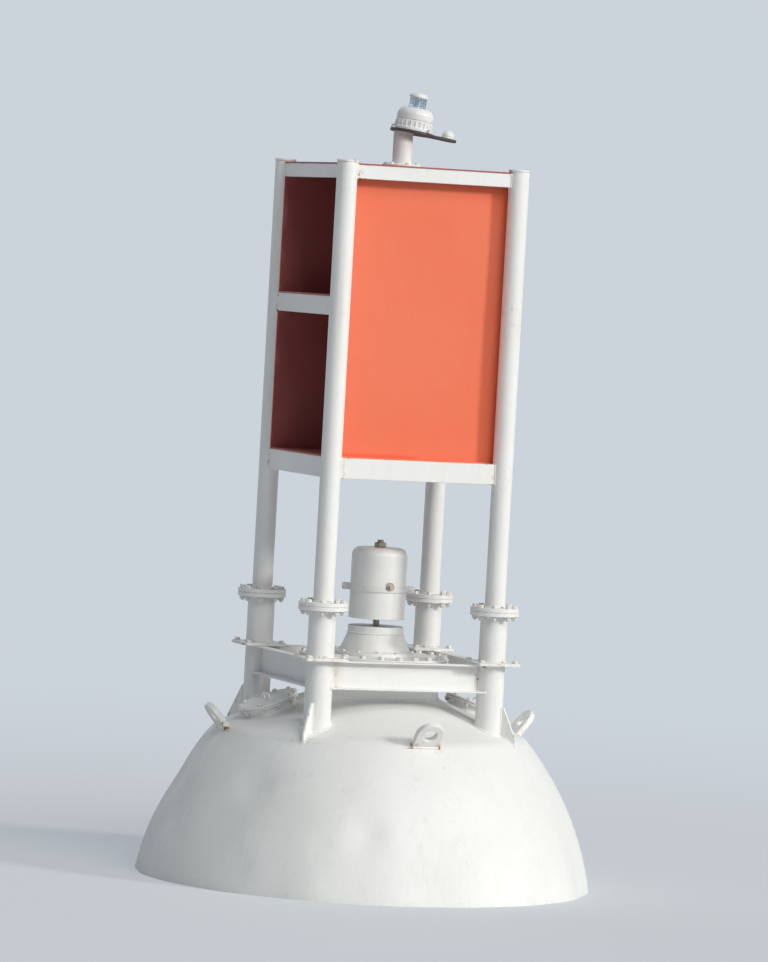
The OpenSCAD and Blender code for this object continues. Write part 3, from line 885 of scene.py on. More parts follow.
@dataclass(frozen=True)
class Paint(Finish):
    """Marine paint on steel, weathered."""

    name: str
    colour: Colour  # the fresh paint
    faded: Colour  # the paint where sun and salt have worked on it
    fading: float = 0.5  # how much of it is faded, 0 to 1
    sheen: float = 0.42  # the middle roughness
    rust: float = 1.0  # how readily rust breaks through
    runs: float = 0.5  # how strong the streaks are
    run_colour: Colour = (0.42, 0.27, 0.15)
    bump: float = 0.0008  # the depth of the film's texture

    def coats(self, tree: Tree, place: Socket) -> tuple[Socket, Socket, Socket]:
        """Lays the paint film.

        Args:
            tree: the material's tree.
            place: the coordinates.

        Returns:
            Its colour, roughness and height.
        """
        film = PaintFilm.use(tree, place=place, colour=self.colour, faded=self.faded,
                             fading=self.fading, sheen=self.sheen)
        return film["Colour"], film["Roughness"], film["Height"]

    def shader(self, tree: Tree) -> Socket:
        """Lays film, streaks and rust over each other.

        Args:
            tree: the material's tree.

        Returns:
            The shader's output.
        """
        place = self.place(tree)
        colour, roughness, height = self.coats(tree, place)
        colour = Runs.use(tree, place=place, colour=colour, stain=self.carried(tree, "rust"),
                          run_colour=self.run_colour, amount=self.runs)["Colour"]
        rust = self.rusted(tree, place, colour, self.rust)
        rough = tree.plus(roughness, tree.times(rust["Core"], 0.35), True)
        height = tree.plus(height, tree.times(rust["Height"], 1.2))
        return self.principled(tree, height, self.bump,
                               {"Base Color": rust["Colour"], "Roughness": rough, "IOR": 1.5})


@dataclass(frozen=True)
class HullPaint(Paint):
    """White topside paint over dark bottom paint, with growth at the waterline."""

    bottom: Colour = (0.040, 0.036, 0.036)
    patina: Colour = (0.14, 0.15, 0.10)
    growth: Colour = (0.20, 0.21, 0.12)
    boot_depth: float = 0.23  # the depth at which the bottom paint begins
    growth_top: float = 0.07  # the height at which the growth ends

    def coats(self, tree: Tree, place: Socket) -> tuple[Socket, Socket, Socket]:
        """Lays the film, then the growth and the bottom paint by the height of a point.

        Args:
            tree: the material's tree.
            place: the coordinates.

        Returns:
            Their colour, roughness and height.
        """
        colour, roughness, height = super().coats(tree, place)
        level = tree.add("ShaderNodeSeparateXYZ", {0: place}).outputs[2]
        ragged = tree.times(tree.noise(place, 9.0, 5.0, 0.65), 0.16)
        wet = tree.between(tree.plus(level, ragged), self.growth_top + 0.08, -0.08)
        patches = tree.between(tree.noise(place, 30.0, 5.0, 0.7), 0.35, 0.7, 0.15, 0.6)
        colour = tree.mix(tree.times(wet, patches), colour, self.growth)
        wobble = tree.times(tree.noise(place, 14.0, 3.0, 0.5), 0.012)
        under = tree.between(tree.plus(level, wobble), 0.003 - self.boot_depth, -self.boot_depth)
        clouds = tree.between(tree.noise(place, 6.0, 6.0, 0.7), 0.4, 0.68, 0.0, 0.5)
        colour = tree.mix(under, colour, tree.mix(clouds, self.bottom, self.patina))
        return colour, tree.plus(roughness, tree.times(under, 0.3), True), height


@dataclass(frozen=True)
class BarePlate(Paint):
    """Dark underwater paint with slime, small shells and rust."""

    slime: Colour = (0.13, 0.14, 0.09)
    shell: Colour = (0.42, 0.41, 0.36)

    def coats(self, tree: Tree, place: Socket) -> tuple[Socket, Socket, Socket]:
        """Lays the film, clouds of slime, and small round shells that stand proud.

        Args:
            tree: the material's tree.
            place: the coordinates.

        Returns:
            Their colour, roughness and height.
        """
        colour, roughness, height = super().coats(tree, place)
        clouds = tree.between(tree.noise(place, 5.0, 6.0, 0.7), 0.42, 0.66, 0.0, 0.75)
        colour = tree.mix(clouds, colour, self.slime)
        cells = tree.add("ShaderNodeTexVoronoi", {"Vector": place, "Scale": 34.0, "Randomness": 1.0})
        shell = tree.between(cells.outputs["Distance"], 0.30, 0.12)
        shell = tree.times(shell, tree.between(tree.noise(place, 3.1, 3.0, 0.6), 0.52, 0.64))
        colour = tree.mix(tree.times(shell, 0.75), colour, self.shell)
        return colour, roughness, tree.plus(height, tree.times(shell, 3.0))


@dataclass(frozen=True)
class Steel(Finish):
    """Bare or zinc-coated steel that has dulled and rusts in places."""

    name: str
    colour: Colour
    dull: Colour  # the metal where it has dulled
    metallic: float = 0.6
    sheen: float = 0.5  # the middle roughness
    rust: float = 1.0  # how readily it rusts
    bump: float = 0.0008  # the depth of its texture

    def shader(self, tree: Tree) -> Socket:
        """Mixes the metal with its dull coat, and rust over both.

        Args:
            tree: the material's tree.

        Returns:
            The shader's output.
        """
        place = self.place(tree)
        clouds = tree.noise(place, 12.0, 5.0, 0.65)
        colour = tree.mix(tree.between(clouds, 0.35, 0.65), self.colour, self.dull)
        rust = self.rusted(tree, place, colour, self.rust)
        metallic = tree.times(tree.math("SUBTRACT", 1.0, rust["Core"]), self.metallic)
        rough = tree.plus(tree.between(clouds, 0.3, 0.7, self.sheen - 0.1, self.sheen + 0.12),
                          tree.times(rust["Core"], 0.3), True)
        height = tree.plus(tree.noise(place, 130.0, 5.0, 0.65), rust["Height"])
        return self.principled(tree, height, self.bump,
                               {"Base Color": rust["Colour"], "Roughness": rough, "Metallic": metallic})


@dataclass(frozen=True)
class Plastic(Finish):
    """Moulded plastic with a faint grain and a little grime."""

    name: str
    colour: Colour
    grime: Colour
    sheen: float = 0.34  # the middle roughness

    def shader(self, tree: Tree) -> Socket:
        """Mixes grime in by soft clouds and gives the surface its grain.

        Args:
            tree: the material's tree.

        Returns:
            The shader's output.
        """
        place = self.place(tree)
        clouds = tree.between(tree.noise(place, 16.0, 5.0, 0.6), 0.42, 0.72, 0.0, 0.35)
        grain = tree.noise(place, 420.0, 2.0, 0.5)
        rough = tree.between(grain, 0.2, 0.8, self.sheen - 0.06, self.sheen + 0.08)
        colour = tree.mix(clouds, self.colour, self.grime)
        return self.principled(tree, grain, 0.0002, {"Base Color": colour, "Roughness": rough})


@dataclass(frozen=True)
class Lens(Finish):
    """Clear moulded plastic of the lantern."""

    name: str
    colour: Colour

    def shader(self, tree: Tree) -> Socket:
        """Glass whose roughness varies a little with the salt on it.

        Args:
            tree: the material's tree.

        Returns:
            The shader's output.
        """
        salt = tree.between(tree.noise(self.place(tree), 60.0, 5.0, 0.7), 0.3, 0.75, 0.04, 0.22)
        return self.principled(tree, None, 0.0, {
            "Base Color": self.colour, "Roughness": salt, "Transmission Weight": 1.0, "IOR": 1.49})


class Coat(Enum):
    """The finishes that the pieces wear."""

    HULL = HullPaint("hull_finish", (0.86, 0.865, 0.85), (0.74, 0.745, 0.72), fading=0.45, sheen=0.56,
                     runs=0.55)
    WHITE = Paint("white_finish", (0.87, 0.87, 0.855), (0.76, 0.76, 0.735), fading=0.45, runs=0.45)
    BOLT = Paint("bolt_finish", (0.83, 0.83, 0.81), (0.66, 0.65, 0.62), fading=0.6)
    WHISTLE = Paint("whistle_finish", (0.86, 0.86, 0.84), (0.74, 0.74, 0.71), sheen=0.36, rust=0.5)
    DAYMARK = Paint("daymark_finish", (0.86, 0.155, 0.065), (0.84, 0.22, 0.12), fading=0.45, sheen=0.58,
                    runs=0.35, run_colour=(0.60, 0.13, 0.07), rust=0.8)
    # Painted shade: the reflector's red is the daymark red darkened to a maroon, streaks included, that
    # stands for the shade inside its pockets
    REFLECTOR = Paint("shaded_reflector_finish", (0.36, 0.085, 0.080), (0.42, 0.135, 0.115), sheen=0.55,
                      runs=0.4, run_colour=(0.22, 0.055, 0.045), rust=0.8)
    PLATE = Paint("lantern_plate_finish", (0.045, 0.043, 0.045), (0.10, 0.10, 0.10), sheen=0.55)
    BOTTOM = BarePlate("bottom_finish", (0.045, 0.040, 0.040), (0.085, 0.075, 0.070), fading=0.6,
                       sheen=0.68, rust=0.9, bump=0.0016)
    CAST = BarePlate("cast_finish", (0.040, 0.037, 0.036), (0.09, 0.075, 0.065), fading=0.6,
                     sheen=0.75, rust=1.1, bump=0.003)
    STEEL = Steel("shackle_finish", (0.30, 0.29, 0.28), (0.17, 0.155, 0.145), metallic=0.7)
    SPINDLE = Steel("spindle_finish", (0.50, 0.46, 0.38), (0.33, 0.30, 0.25), metallic=0.75, rust=0.4)
    PLASTIC = Plastic("plastic_finish", (0.84, 0.85, 0.85), (0.58, 0.57, 0.53))
    GASKET = Plastic("gasket_finish", (0.03, 0.03, 0.03), (0.10, 0.095, 0.085), sheen=0.7)
    LENS = Lens("lens_finish", (0.80, 0.89, 0.97))


# Making pieces


def placed(name: str, data: bpy.types.ID) -> bpy.types.Object:
    """Makes an object and links it to the scene.

    Args:
        name: its name.
        data: its mesh, light or camera.

    Returns:
        The object.
    """
    made = bpy.data.objects.new(name, data)
    bpy.context.scene.collection.objects.link(made)
    return made


@dataclass
class Yard:
    """Where shapes become pieces of the buoy."""

    weather: Weather
    count: int = 0  # how many pieces are made

    def piece(
        self,
        name: str,
        shape: Shape,
        coats: Coat | Sequence[Coat] = Coat.WHITE,
        slot: str = "white_paint",
        node: str = "",
        body: str = BUOY,
        weathered: bool = True,
        sharp: float = 30.0,
    ) -> None:
        """Makes a piece from a shape, dresses it and says what it rides on.

        Args:
            name: the piece's name.
            shape: its shape, in the buoy's own place.
            coats: its finish, or its finishes in the order of the shape's numbers.
            slot: the record's material slot; not used.
            node: the CAD node that it stands for, if any.
            body: the body that it rides on.
            weathered: whether the weather's rust is added.
            sharp: the angle in degrees past which an edge is drawn sharp.
        """
        rust = self.weather.rust(shape.points) if weathered else 0.0
        mesh = self.mesh(name, shape, np.minimum(shape.rust + rust, 1.0), sharp)
        for coat in [coats] if isinstance(coats, Coat) else coats:
            mesh.materials.append(coat.value.material())
        made = placed(name, mesh)
        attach(made, body)
        if node:
            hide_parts(node)
        self.count += 1
        log.info("%s: %d faces on %s", name, len(mesh.polygons), body)

    def mesh(self, name: str, shape: Shape, rust: Array, sharp: float) -> bpy.types.Mesh:
        """Fills a mesh from arrays, closes its seams and poles and turns its faces outwards.

        Args:
            name: the mesh's name.
            shape: the shape.
            rust: the rust at each point.
            sharp: the angle in degrees past which an edge is drawn sharp.

        Returns:
            The mesh.
        """
        mesh = bpy.data.meshes.new(name)
        mesh.vertices.add(len(shape.points))
        mesh.vertices.foreach_set("co", shape.points.astype(np.float32).ravel())
        corners = np.concatenate([block.ravel() for block in shape.faces])
        totals = np.concatenate([np.full(len(block), block.shape[1]) for block in shape.faces])
        coats = np.repeat(shape.coats, [len(block) for block in shape.faces])
        mesh.loops.add(len(corners))
        mesh.loops.foreach_set("vertex_index", corners.astype(np.int32))
        mesh.polygons.add(len(totals))
        mesh.polygons.foreach_set("loop_start", (np.cumsum(totals) - totals).astype(np.int32))
        mesh.polygons.foreach_set("material_index", coats.astype(np.int32))
        mesh.update(calc_edges=True)
        for key, values in (("edge", shape.edge), ("rust", rust)):
            mesh.attributes.new(key, "FLOAT", "POINT").data.foreach_set("value", values.astype(np.float32))
        skin = bmesh.new()
        skin.from_mesh(mesh)
        bmesh.ops.remove_doubles(skin, verts=skin.verts, dist=1e-5)
        bmesh.ops.recalc_face_normals(skin, faces=skin.faces)
        skin.to_mesh(mesh)
        skin.free()
        mesh.shade_smooth()
        mesh.set_sharp_from_angle(angle=np.radians(sharp))
        return mesh


class Side(Enum):
    """The four sides of the tower, by the turn about +Z that carries the front to each."""

    front = 0.0
    right = 90.0
    rear = 180.0
    left = 270.0


CORNERS: dict[str, Corner] = {
    "front_left": (-1.0, -1.0), "front_right": (1.0, -1.0),
    "rear_left": (-1.0, 1.0), "rear_right": (1.0, 1.0)}
TWINS = (("right", 0.0), ("left", 180.0))  # the names of twins on +X and -X, and their turns


def box(node: str) -> tuple[Array, Array]:
    """Gives a CAD node's lowest and highest corners as arrays."""
    low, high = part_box(node)
    return np.array(low), np.array(high)


def extent(node: str) -> tuple[float, float, float]:
    """Gives a CAD node's furthest x and the heights of its foot and top."""
    low, high = box(node)
    return high[0], low[2], high[2]


def box_from_front(node: str, side: Side) -> tuple[Array, Array]:
    """Gives a node's lowest and highest corners after its side is turned to the front."""
    corners = np.array(box(node)) @ turned(-side.value)
    return corners.min(axis=0), corners.max(axis=0)


# The hull


@dataclass
class HullForm:
    """The hull's skin as an outline of radius and height."""

    radius: float  # the largest radius
    low: float  # the height of the bottom
    high: float  # the height of the crown's flat top
    trunk_radius: float
    tail_radius: float = 0.305
    dome_depth: float = 0.280  # the depth at which the dome begins
    dome_radius: float = 1.614  # the radius of the dome's arc
    dome_end: float = 41.3  # the angle in degrees at which the dome meets the shoulder
    shoulder_radius: float = 0.120
    crown_slope: float = 21.0  # in degrees
    chine_depth: float = 0.760
    chine_radius: float = 0.070

    def __post_init__(self) -> None:
        """Works out where the outline's arcs meet, and the part of it above the widest ring."""
        end = np.radians(self.dome_end)
        ray = np.array([np.cos(end), np.sin(end)])
        self.dome_centre = np.array([self.radius - self.dome_radius, -self.dome_depth])
        self.shoulder_centre = self.dome_centre + (self.dome_radius - self.shoulder_radius) * ray
        drop, reach = -self.chine_depth - self.low, self.radius - self.tail_radius
        self.bottom_slope = np.degrees(np.arctan2(drop, reach))
        self.crown_edge = self.on_shoulder(90.0 - self.crown_slope)[0]
        self.outline = self.draw()
        above = self.outline[np.argmax(self.outline[:, 0] > self.radius - NEAR_ZERO):]
        self.above = above[np.argsort(above[:, 0], kind="stable")]

    def draw(self) -> Array:
        """Gives the outline from the bottom's centre to the crown's, close enough for dents.

        Returns:
            Rows of radius and height.
        """
        turn = 90.0 - self.bottom_slope
        reach = self.chine_radius * np.tan(np.radians(turn / 2.0))
        chine = (self.radius - self.chine_radius, -self.chine_depth + reach)
        chine_arc = arc(chine, self.chine_radius, self.bottom_slope - 90.0, 0.0, 8)
        start = self.dome_end + 3.0  # a step past the dome's last point
        shoulder = arc(self.shoulder_centre, self.shoulder_radius, start, 90.0 - self.crown_slope, 10)
        crown_foot = (self.trunk_radius, self.high)
        return np.concatenate([
            line((0.0, self.low), (self.tail_radius, self.low), 4)[:-1],
            line((self.tail_radius, self.low), chine_arc[0], 26)[:-1], chine_arc,
            line(chine_arc[-1], (self.radius, -self.dome_depth), 14)[1:-1],
            arc(self.dome_centre, self.dome_radius, 0.0, self.dome_end, 56), shoulder,
            line(shoulder[-1], crown_foot, 18)[1:], line(crown_foot, (0.0, self.high), 4)[1:]])

    def height(self, radius: Array | float) -> Array:
        """Gives the height of the skin above the widest ring at a radius."""
        return np.interp(radius, self.above[:, 0], self.above[:, 1])

    def on_shoulder(self, angle: float) -> tuple[Array, Array]:
        """Gives the shoulder's point at an angle above level, and its normal."""
        ray = np.array([np.cos(np.radians(angle)), np.sin(np.radians(angle))])
        return self.shoulder_centre + self.shoulder_radius * ray, ray


@dataclass
class Hull:
    """The hull's plates, with their dents and seams."""

    form: HullForm
    columns: int = 384  # the columns of points round the hull
    dents: int = 70
    seed: int = 11  # the seed of the dents' places
    dent_rows: tuple[int, int] = (40, 100)  # the rows of the outline between which dents lie
    dent_sizes: tuple[float, float] = (0.07, 0.20)
    full_size: float = 0.16  # the size below which a dent is shallower
    deepest: float = 0.017  # the depth of the deepest dent
    hollow: float = 0.006  # the depth to which the skin has sunk between its frames
    frames: int = 18  # the frames round the hull
    frame_half: float = 0.7  # how far up and down from the waterline they reach
    fade: float = 0.10  # the height over which all this dies out at the shoulder
    fade_top: float = 0.08  # where it ends above the shoulder's centre
    strakes: int = 6  # the plates round the dome
    first_seam: float = 37.0  # the angle of the first upright seam, in degrees
    seam_size: float = 0.0055  # the radius of the weld beads
    seam_lift: float = 0.0014  # how far they stand out of the skin

    def pushed(self, place: Array, angle: Array, normal: Array) -> Array:
        """Gives points of the round hull after dents and sunk plates have pushed them in.

        A dent is depth exp(-(d / size)^2), d being the distance from its centre. Between frames
        the skin sinks by hollow sin^2(pi rise) sin^2(frames a / 2), a counted from the first
        seam and rise from 0 at the frames' feet to 1 at their tops.

        Args:
            place: rows of radius and height.
            angle: each point's angle about the axis.
            normal: rows of radius and height of the skin's outward direction.

        Returns:
            One row of x, y and z for each point.
        """
        form, outline = self.form, self.form.outline
        ray = np.stack([np.cos(angle), np.sin(angle)], axis=1)
        points = np.column_stack([place[:, :1] * ray, place[:, 1]])
        rng = np.random.default_rng(self.seed)
        turn = rng.uniform(0.0, FULL_TURN, self.dents)
        radius, height = outline[rng.integers(*self.dent_rows, self.dents)].T
        size = rng.uniform(*self.dent_sizes, self.dents)
        depth = self.deepest * rng.uniform(0.2, 1.0, self.dents) * np.minimum(1.0, size / self.full_size)
        centres = np.stack([radius * np.cos(turn), radius * np.sin(turn), height], 1)
        gap = ((points[:, None, :] - centres[None, :, :]) ** 2).sum(axis=2)
        sink = (depth[None, :] * np.exp(-gap / size[None, :] ** 2)).sum(axis=1)
        z = place[:, 1]
        rise = np.clip((z + self.frame_half) / (2.0 * self.frame_half), 0.0, 1.0)
        between = np.sin(0.5 * self.frames * (angle - np.radians(self.first_seam)))
        push = sink + self.hollow * np.sin(rise * np.pi) ** 2 * between ** 2
        below = form.shoulder_centre[1] + self.fade_top - z
        push *= (z > -form.chine_depth) * np.clip(below / self.fade, 0.0, 1.0)
        return points - push[:, None] * np.column_stack([normal[:, :1] * ray, normal[:, 1]])

    def skin(self) -> Shape:
        """Turns the outline about +Z and pushes it in.

        Returns:
            The skin.
        """
        outline, columns = self.form.outline, self.columns
        shape = lathe(Outline(outline, np.zeros(len(outline))), columns)
        slope = np.gradient(outline, axis=0)
        normal = unit(np.stack([slope[:, 1], -slope[:, 0]], axis=1))
        angle = np.tile(FULL_TURN * np.arange(columns) / columns, len(outline))
        shape.points = self.pushed(np.repeat(outline, columns, axis=0), angle,
                                   np.repeat(normal, columns, axis=0))
        return shape

    def seams(self) -> Shape:
        """Lays the weld beads: rings at the dome's ends, and upright seams between its plates.

        Returns:
            The beads, with the one round the tail tube.
        """
        form = self.form
        radius = form.dome_radius - (self.seam_size - self.seam_lift)
        around = np.radians(np.linspace(0.0, 360.0, 256, endpoint=False))
        beads = [ring_bead(form.tail_radius + 0.002, form.low, 0.010, 128)]
        for rise in (0.0, form.dome_end):
            ray = np.tile([np.cos(np.radians(rise)), np.sin(np.radians(rise))], (len(around), 1))
            ring = self.pushed(form.dome_centre + radius * ray, around, ray)
            beads.append(bead(ring, UP, self.seam_size))
        ray = arc((0.0, 0.0), 1.0, 0.0, form.dome_end, 40)
        for start in self.first_seam + 360.0 * np.arange(self.strakes) / self.strakes:
            angle = np.full(len(ray), np.radians(start))
            path = self.pushed(form.dome_centre + radius * ray, angle, ray)
            away = np.column_stack([ray[:, :1] * [np.cos(angle[0]), np.sin(angle[0])], ray[:, 1]])
            beads.append(bead(path, away, self.seam_size, closed=False))
        return join(*beads)

    def build(self, yard: Yard) -> None:
        """Makes the hull's pieces."""
        yard.piece("hull_skin", self.skin(), Coat.HULL, "hull_paint", "hull", sharp=40.0)
        yard.piece("hull_seams", self.seams(), Coat.HULL, "hull_paint", sharp=SHARP_WELD)


# The trunk and the whistle


@dataclass
class Trunk:
    """The trunk on the crown and its bolted cover."""

    bolts: int = 24  # how many bolts the cover has
    bolt: Bolt = Bolt(0.020)
    bolt_inset: float = 0.025  # the distance of the bolts from the cover's edge
    gasket: float = 0.003  # the gasket's thickness
    turns: int = 128  # the columns of points round the axis

    def build(self, yard: Yard) -> None:
        """Makes the trunk, its welds, its cover and the bolts.

        Args:
            yard: where pieces are made.
        """
        radius, foot, top = extent("trunk")
        wall = drum(radius, foot - 0.005, top, self.turns, step=0.03)
        welds = ring_bead(radius, foot, 0.010, self.turns), ring_bead(radius, top, 0.007, self.turns)
        yard.piece("trunk_wall", join(wall, *welds), node="trunk")
        cover, cover_foot, cover_top = extent("trunk_cover")
        lower = top + 0.5 * (cover_top - cover_foot) - self.gasket
        upper = lower + self.gasket
        ring = drum(cover - 0.002, top, lower, self.turns)
        seal = drum(cover - 0.007, lower, upper, self.turns, 0.0005, 0.0).coated(1)
        lid = drum(cover, upper, cover_top, self.turns, 0.0025, 0.008, 0.05)
        yard.piece("trunk_lid", join(ring, seal, lid), [Coat.WHITE, Coat.GASKET], node="trunk_cover")
        bolts = self.bolt.through(self.bolts, cover - self.bolt_inset, cover_top, top)
        yard.piece("trunk_bolts", bolts, Coat.BOLT, sharp=SHARP_BOLT)


@dataclass
class Whistle:
    """The whistle: base flange, cone and slit cup, and the bell on its spindle."""

    bell_wall: float = 0.007  # the thickness of the bell's wall
    bell_round: float = 0.045  # the radius of the bell's top edge
    slit_width: float = 0.009
    slit_depth: float = 0.030
    flange: float = 0.020  # the base flange's thickness
    rim: float = 0.028  # the width of the flange outside the cone's foot
    spindle_radius: float = 0.017
    nut_height: float = 0.026
    band_width: float = 0.036  # the width of the clamp band round the bell
    band_up: float = 0.145  # the band's height above the bell's foot
    band_turn: float = -28.0  # the angle of the band's lugs, in degrees
    plug_up: float = 0.175  # the plug's height above the bell's foot
    plug_turn: float = 4.0  # the plug's angle from the front, in degrees
    bolts: int = 12  # how many bolts the base flange has

    def build(self, yard: Yard) -> None:
        """Makes the whistle's pieces.

        Args:
            yard: where pieces are made.
        """
        flange, foot, cup_top = extent("whistle_base")
        radius, bell_foot, bell_top = extent("whistle_bell")
        self.base(yard, foot, cup_top, flange, radius)
        self.bell(yard, radius, bell_foot, bell_top)
        self.spindle(yard, cup_top, bell_top)

    def base(self, yard: Yard, foot: float, top: float, outer: float, cup: float) -> None:
        """Makes the flange with its bolts, the cone and the cup with its slit.

        Args:
            yard: where pieces are made.
            foot: the height of the flange's underside.
            top: the height of the cup's top.
            outer: the flange's radius.
            cup: the cup's radius.
        """
        shoulder, floor = foot + self.flange, top - self.slit_depth
        cone_foot, cone_top = outer - self.rim, floor - self.bell_wall
        wall = cup - self.bell_wall
        core = wall - self.slit_width
        cone = line((cone_foot, shoulder + 0.010), (cup, cone_top), 6)
        base = lathe([(0.0, foot), (outer, foot), (outer, shoulder), (cone_foot, shoulder), cone,
                      (cup, top), (wall, top), (wall, floor), (core, floor), (core, top), (0.0, top)],
                     96, 0.0018, 0.005)
        low = ring_bead(cone_foot + 0.001, shoulder + 0.003, 0.005, 96)
        high = ring_bead(cup + 0.001, cone_top, 0.0045, 96)
        yard.piece("whistle_cup", join(base, low, high), Coat.WHISTLE, "whistle_paint", "whistle_base")
        heads = Bolt(0.010).head().ringed(self.bolts, outer - 0.0125, shoulder, 15.0)
        yard.piece("whistle_bolts", heads, Coat.BOLT, "whistle_paint", sharp=SHARP_BOLT)

    def bell(self, yard: Yard, outer: float, foot: float, top: float) -> None:
        """Makes the bell with its clamp band and the plug in front.

        Args:
            yard: where pieces are made.
            outer: the bell's radius.
            foot: the height of its open end.
            top: the height of its crown.
        """
        inner, hole = outer - self.bell_wall, self.spindle_radius + SEAT
        centre = (outer - self.bell_round, top - self.bell_round)
        crown = arc(centre, self.bell_round, 0.0, 90.0, 10)
        inside = arc(centre, self.bell_round - self.bell_wall, 90.0, 0.0, 8)
        rows = [(inner, foot), (outer, foot), crown, (hole, top), (hole, top - self.bell_wall), inside]
        wall = lathe(rows, 96, 0.0015, 0.005, closed=True, step=0.04)
        rib = ring_bead(outer - 0.001, foot + 0.004, 0.005, 96)
        yard.piece("whistle_bell_wall", join(wall, rib), Coat.WHISTLE, "whistle_paint", "whistle_bell")
        yard.piece("whistle_band", self.clamp(outer, foot + self.band_up), Coat.BOLT, "whistle_paint")
        cap = lathe([(0.0, -0.004), (0.026, -0.004), (0.026, 0.004), (0.019, 0.004), (0.019, 0.012),
                     (0.0, 0.012)], 24, 0.001, 0.002)
        square = plate(rounded_box(0.009, 0.009, 0.0015), 0.012, 0.022, 0.001)
        plug = join(cap, square).moved(STANDING, (0.0, -outer, foot + self.plug_up))
        yard.piece("whistle_plug", plug.moved(turned(self.plug_turn)), Coat.SPINDLE, "whistle_paint")

    def clamp(self, outer: float, foot: float) -> Shape:
        """Gives the band round the bell, with two lugs and the bolt through them on either side.

        Args:
            outer: the bell's radius.
            foot: the height of the band's lower edge.

        Returns:
            The band.
        """
        band = drum(outer + 0.005, foot, foot + self.band_width, 96, 0.001, 0.004, inner=outer - 0.001)
        middle = foot + 0.5 * self.band_width
        lug = rounded_box(0.023, 0.5 * self.band_width, 0.006)
        lugs = [plate(lug, y, y + 0.008, 0.0015, 0.003).moved(SIDEWAYS, (outer + 0.021, 0.0, middle))
                for y in (-0.012, 0.004)]
        across = np.array([[1.0, 0.0, 0.0], [0.0, 0.0, -1.0], [0.0, 1.0, 0.0]])  # z lies along +Y
        end = np.array([outer + 0.028, 0.0, middle])
        nut = Bolt(0.012).nut().moved(across, end + (0.0, 0.012, 0.0))
        head = Bolt(0.012).head().moved(-across, end - (0.0, 0.012, 0.0))
        ears = join(*lugs, nut, head)
        return join(band, ears, ears.moved(turned(180.0))).moved(turned(self.band_turn))

    def spindle(self, yard: Yard, cup_top: float, bell_top: float) -> None:
        """Makes the spindle with its nuts above and below the bell's crown.

        Args:
            yard: where pieces are made.
            cup_top: the height that the spindle stands on.
            bell_top: the height of the bell's crown.
        """
        radius, height = self.spindle_radius, self.nut_height
        rod = drum(radius, cup_top, extent("whistle_spindle")[2], 32, 0.003, 0.003)
        nut = lathe([(0.0, 0.0), (1.75 * radius, 0.0), (2.0 * radius, 0.004), (2.0 * radius, height - 0.004),
                     (1.75 * radius, height), (0.0, height)], 6, 0.0005, 0.0)
        nuts = [nut.moved(place=(0.0, 0.0, z)) for z in (bell_top, bell_top - self.bell_wall - height)]
        yard.piece("whistle_rod", join(rod, *nuts), Coat.SPINDLE, "whistle_paint", "whistle_spindle",
                   sharp=SHARP_BOLT)


# The lower frame and the tower


def at_corner(corner: Corner, leg_half: float) -> Array:
    """Gives the place of a corner's leg, by the signs of its x and y."""
    return np.array([corner[0] * leg_half, corner[1] * leg_half, 0.0])


def channel(
    low: Array, high: Array, thick: float, pipe_radius: float, toes_out: bool, leg_half: float
) -> Shape:
    """Makes a straight channel on the front side, cut to fit round the pipe at each end.

    The outline in y and z is carried along x to where it meets the pipes: at a distance d from
    the pipe's axis in y, x is leg_half - sqrt((r + seat)^2 - d^2).

    Args:
        low, high: the lowest and highest corners.
        thick: the thickness of the steel.
        pipe_radius: the radius of the pipes at its ends.
        toes_out: whether the toes point to -Y.
        leg_half: half the distance between the pipes' axes.

    Returns:
        The channel with the weld beads at its ends.
    """
    web, toe, inner = (high[1], low[1], -thick) if toes_out else (low[1], high[1], thick)
    z, top = low[2], high[2]
    corners = [(web, z), (toe, z), (toe, z + thick), (web + inner, z + thick), (web + inner, top - thick),
               (toe, top - thick), (toe, top), (web, top)]
    outline = trace(corners, 0.0022, 0.004, closed=True, step=0.03)
    y, height = outline.points.T
    away = np.abs(y + leg_half)
    reach = leg_half - np.sqrt(np.maximum((pipe_radius + SEAT) ** 2 - away ** 2, 0.0))
    share = np.concatenate([[0.0, 0.02, 0.05], np.linspace(0.1, 0.9, 17), [0.95, 0.98, 1.0]]) * 2.0 - 1.0
    rows, columns = len(share), len(y)
    points = np.stack(np.broadcast_arrays(share[:, None] * reach, y, height), axis=-1).reshape(-1, 3)
    cap = np.arange(columns)[None, :]
    faces = [grid_faces(rows, columns, False, True), cap, cap + (rows - 1) * columns]
    rust = np.repeat(np.interp(np.abs(share), [0.86, 1.0], [0.0, 0.22]), columns)
    welds = [bead(np.column_stack([end * (reach - 0.001), y, height]), -end * FORWARD, 0.0055)
             for end in (-1.0, 1.0)]
    return join(Shape(points, faces, np.tile(outline.edge, rows), rust), *welds)


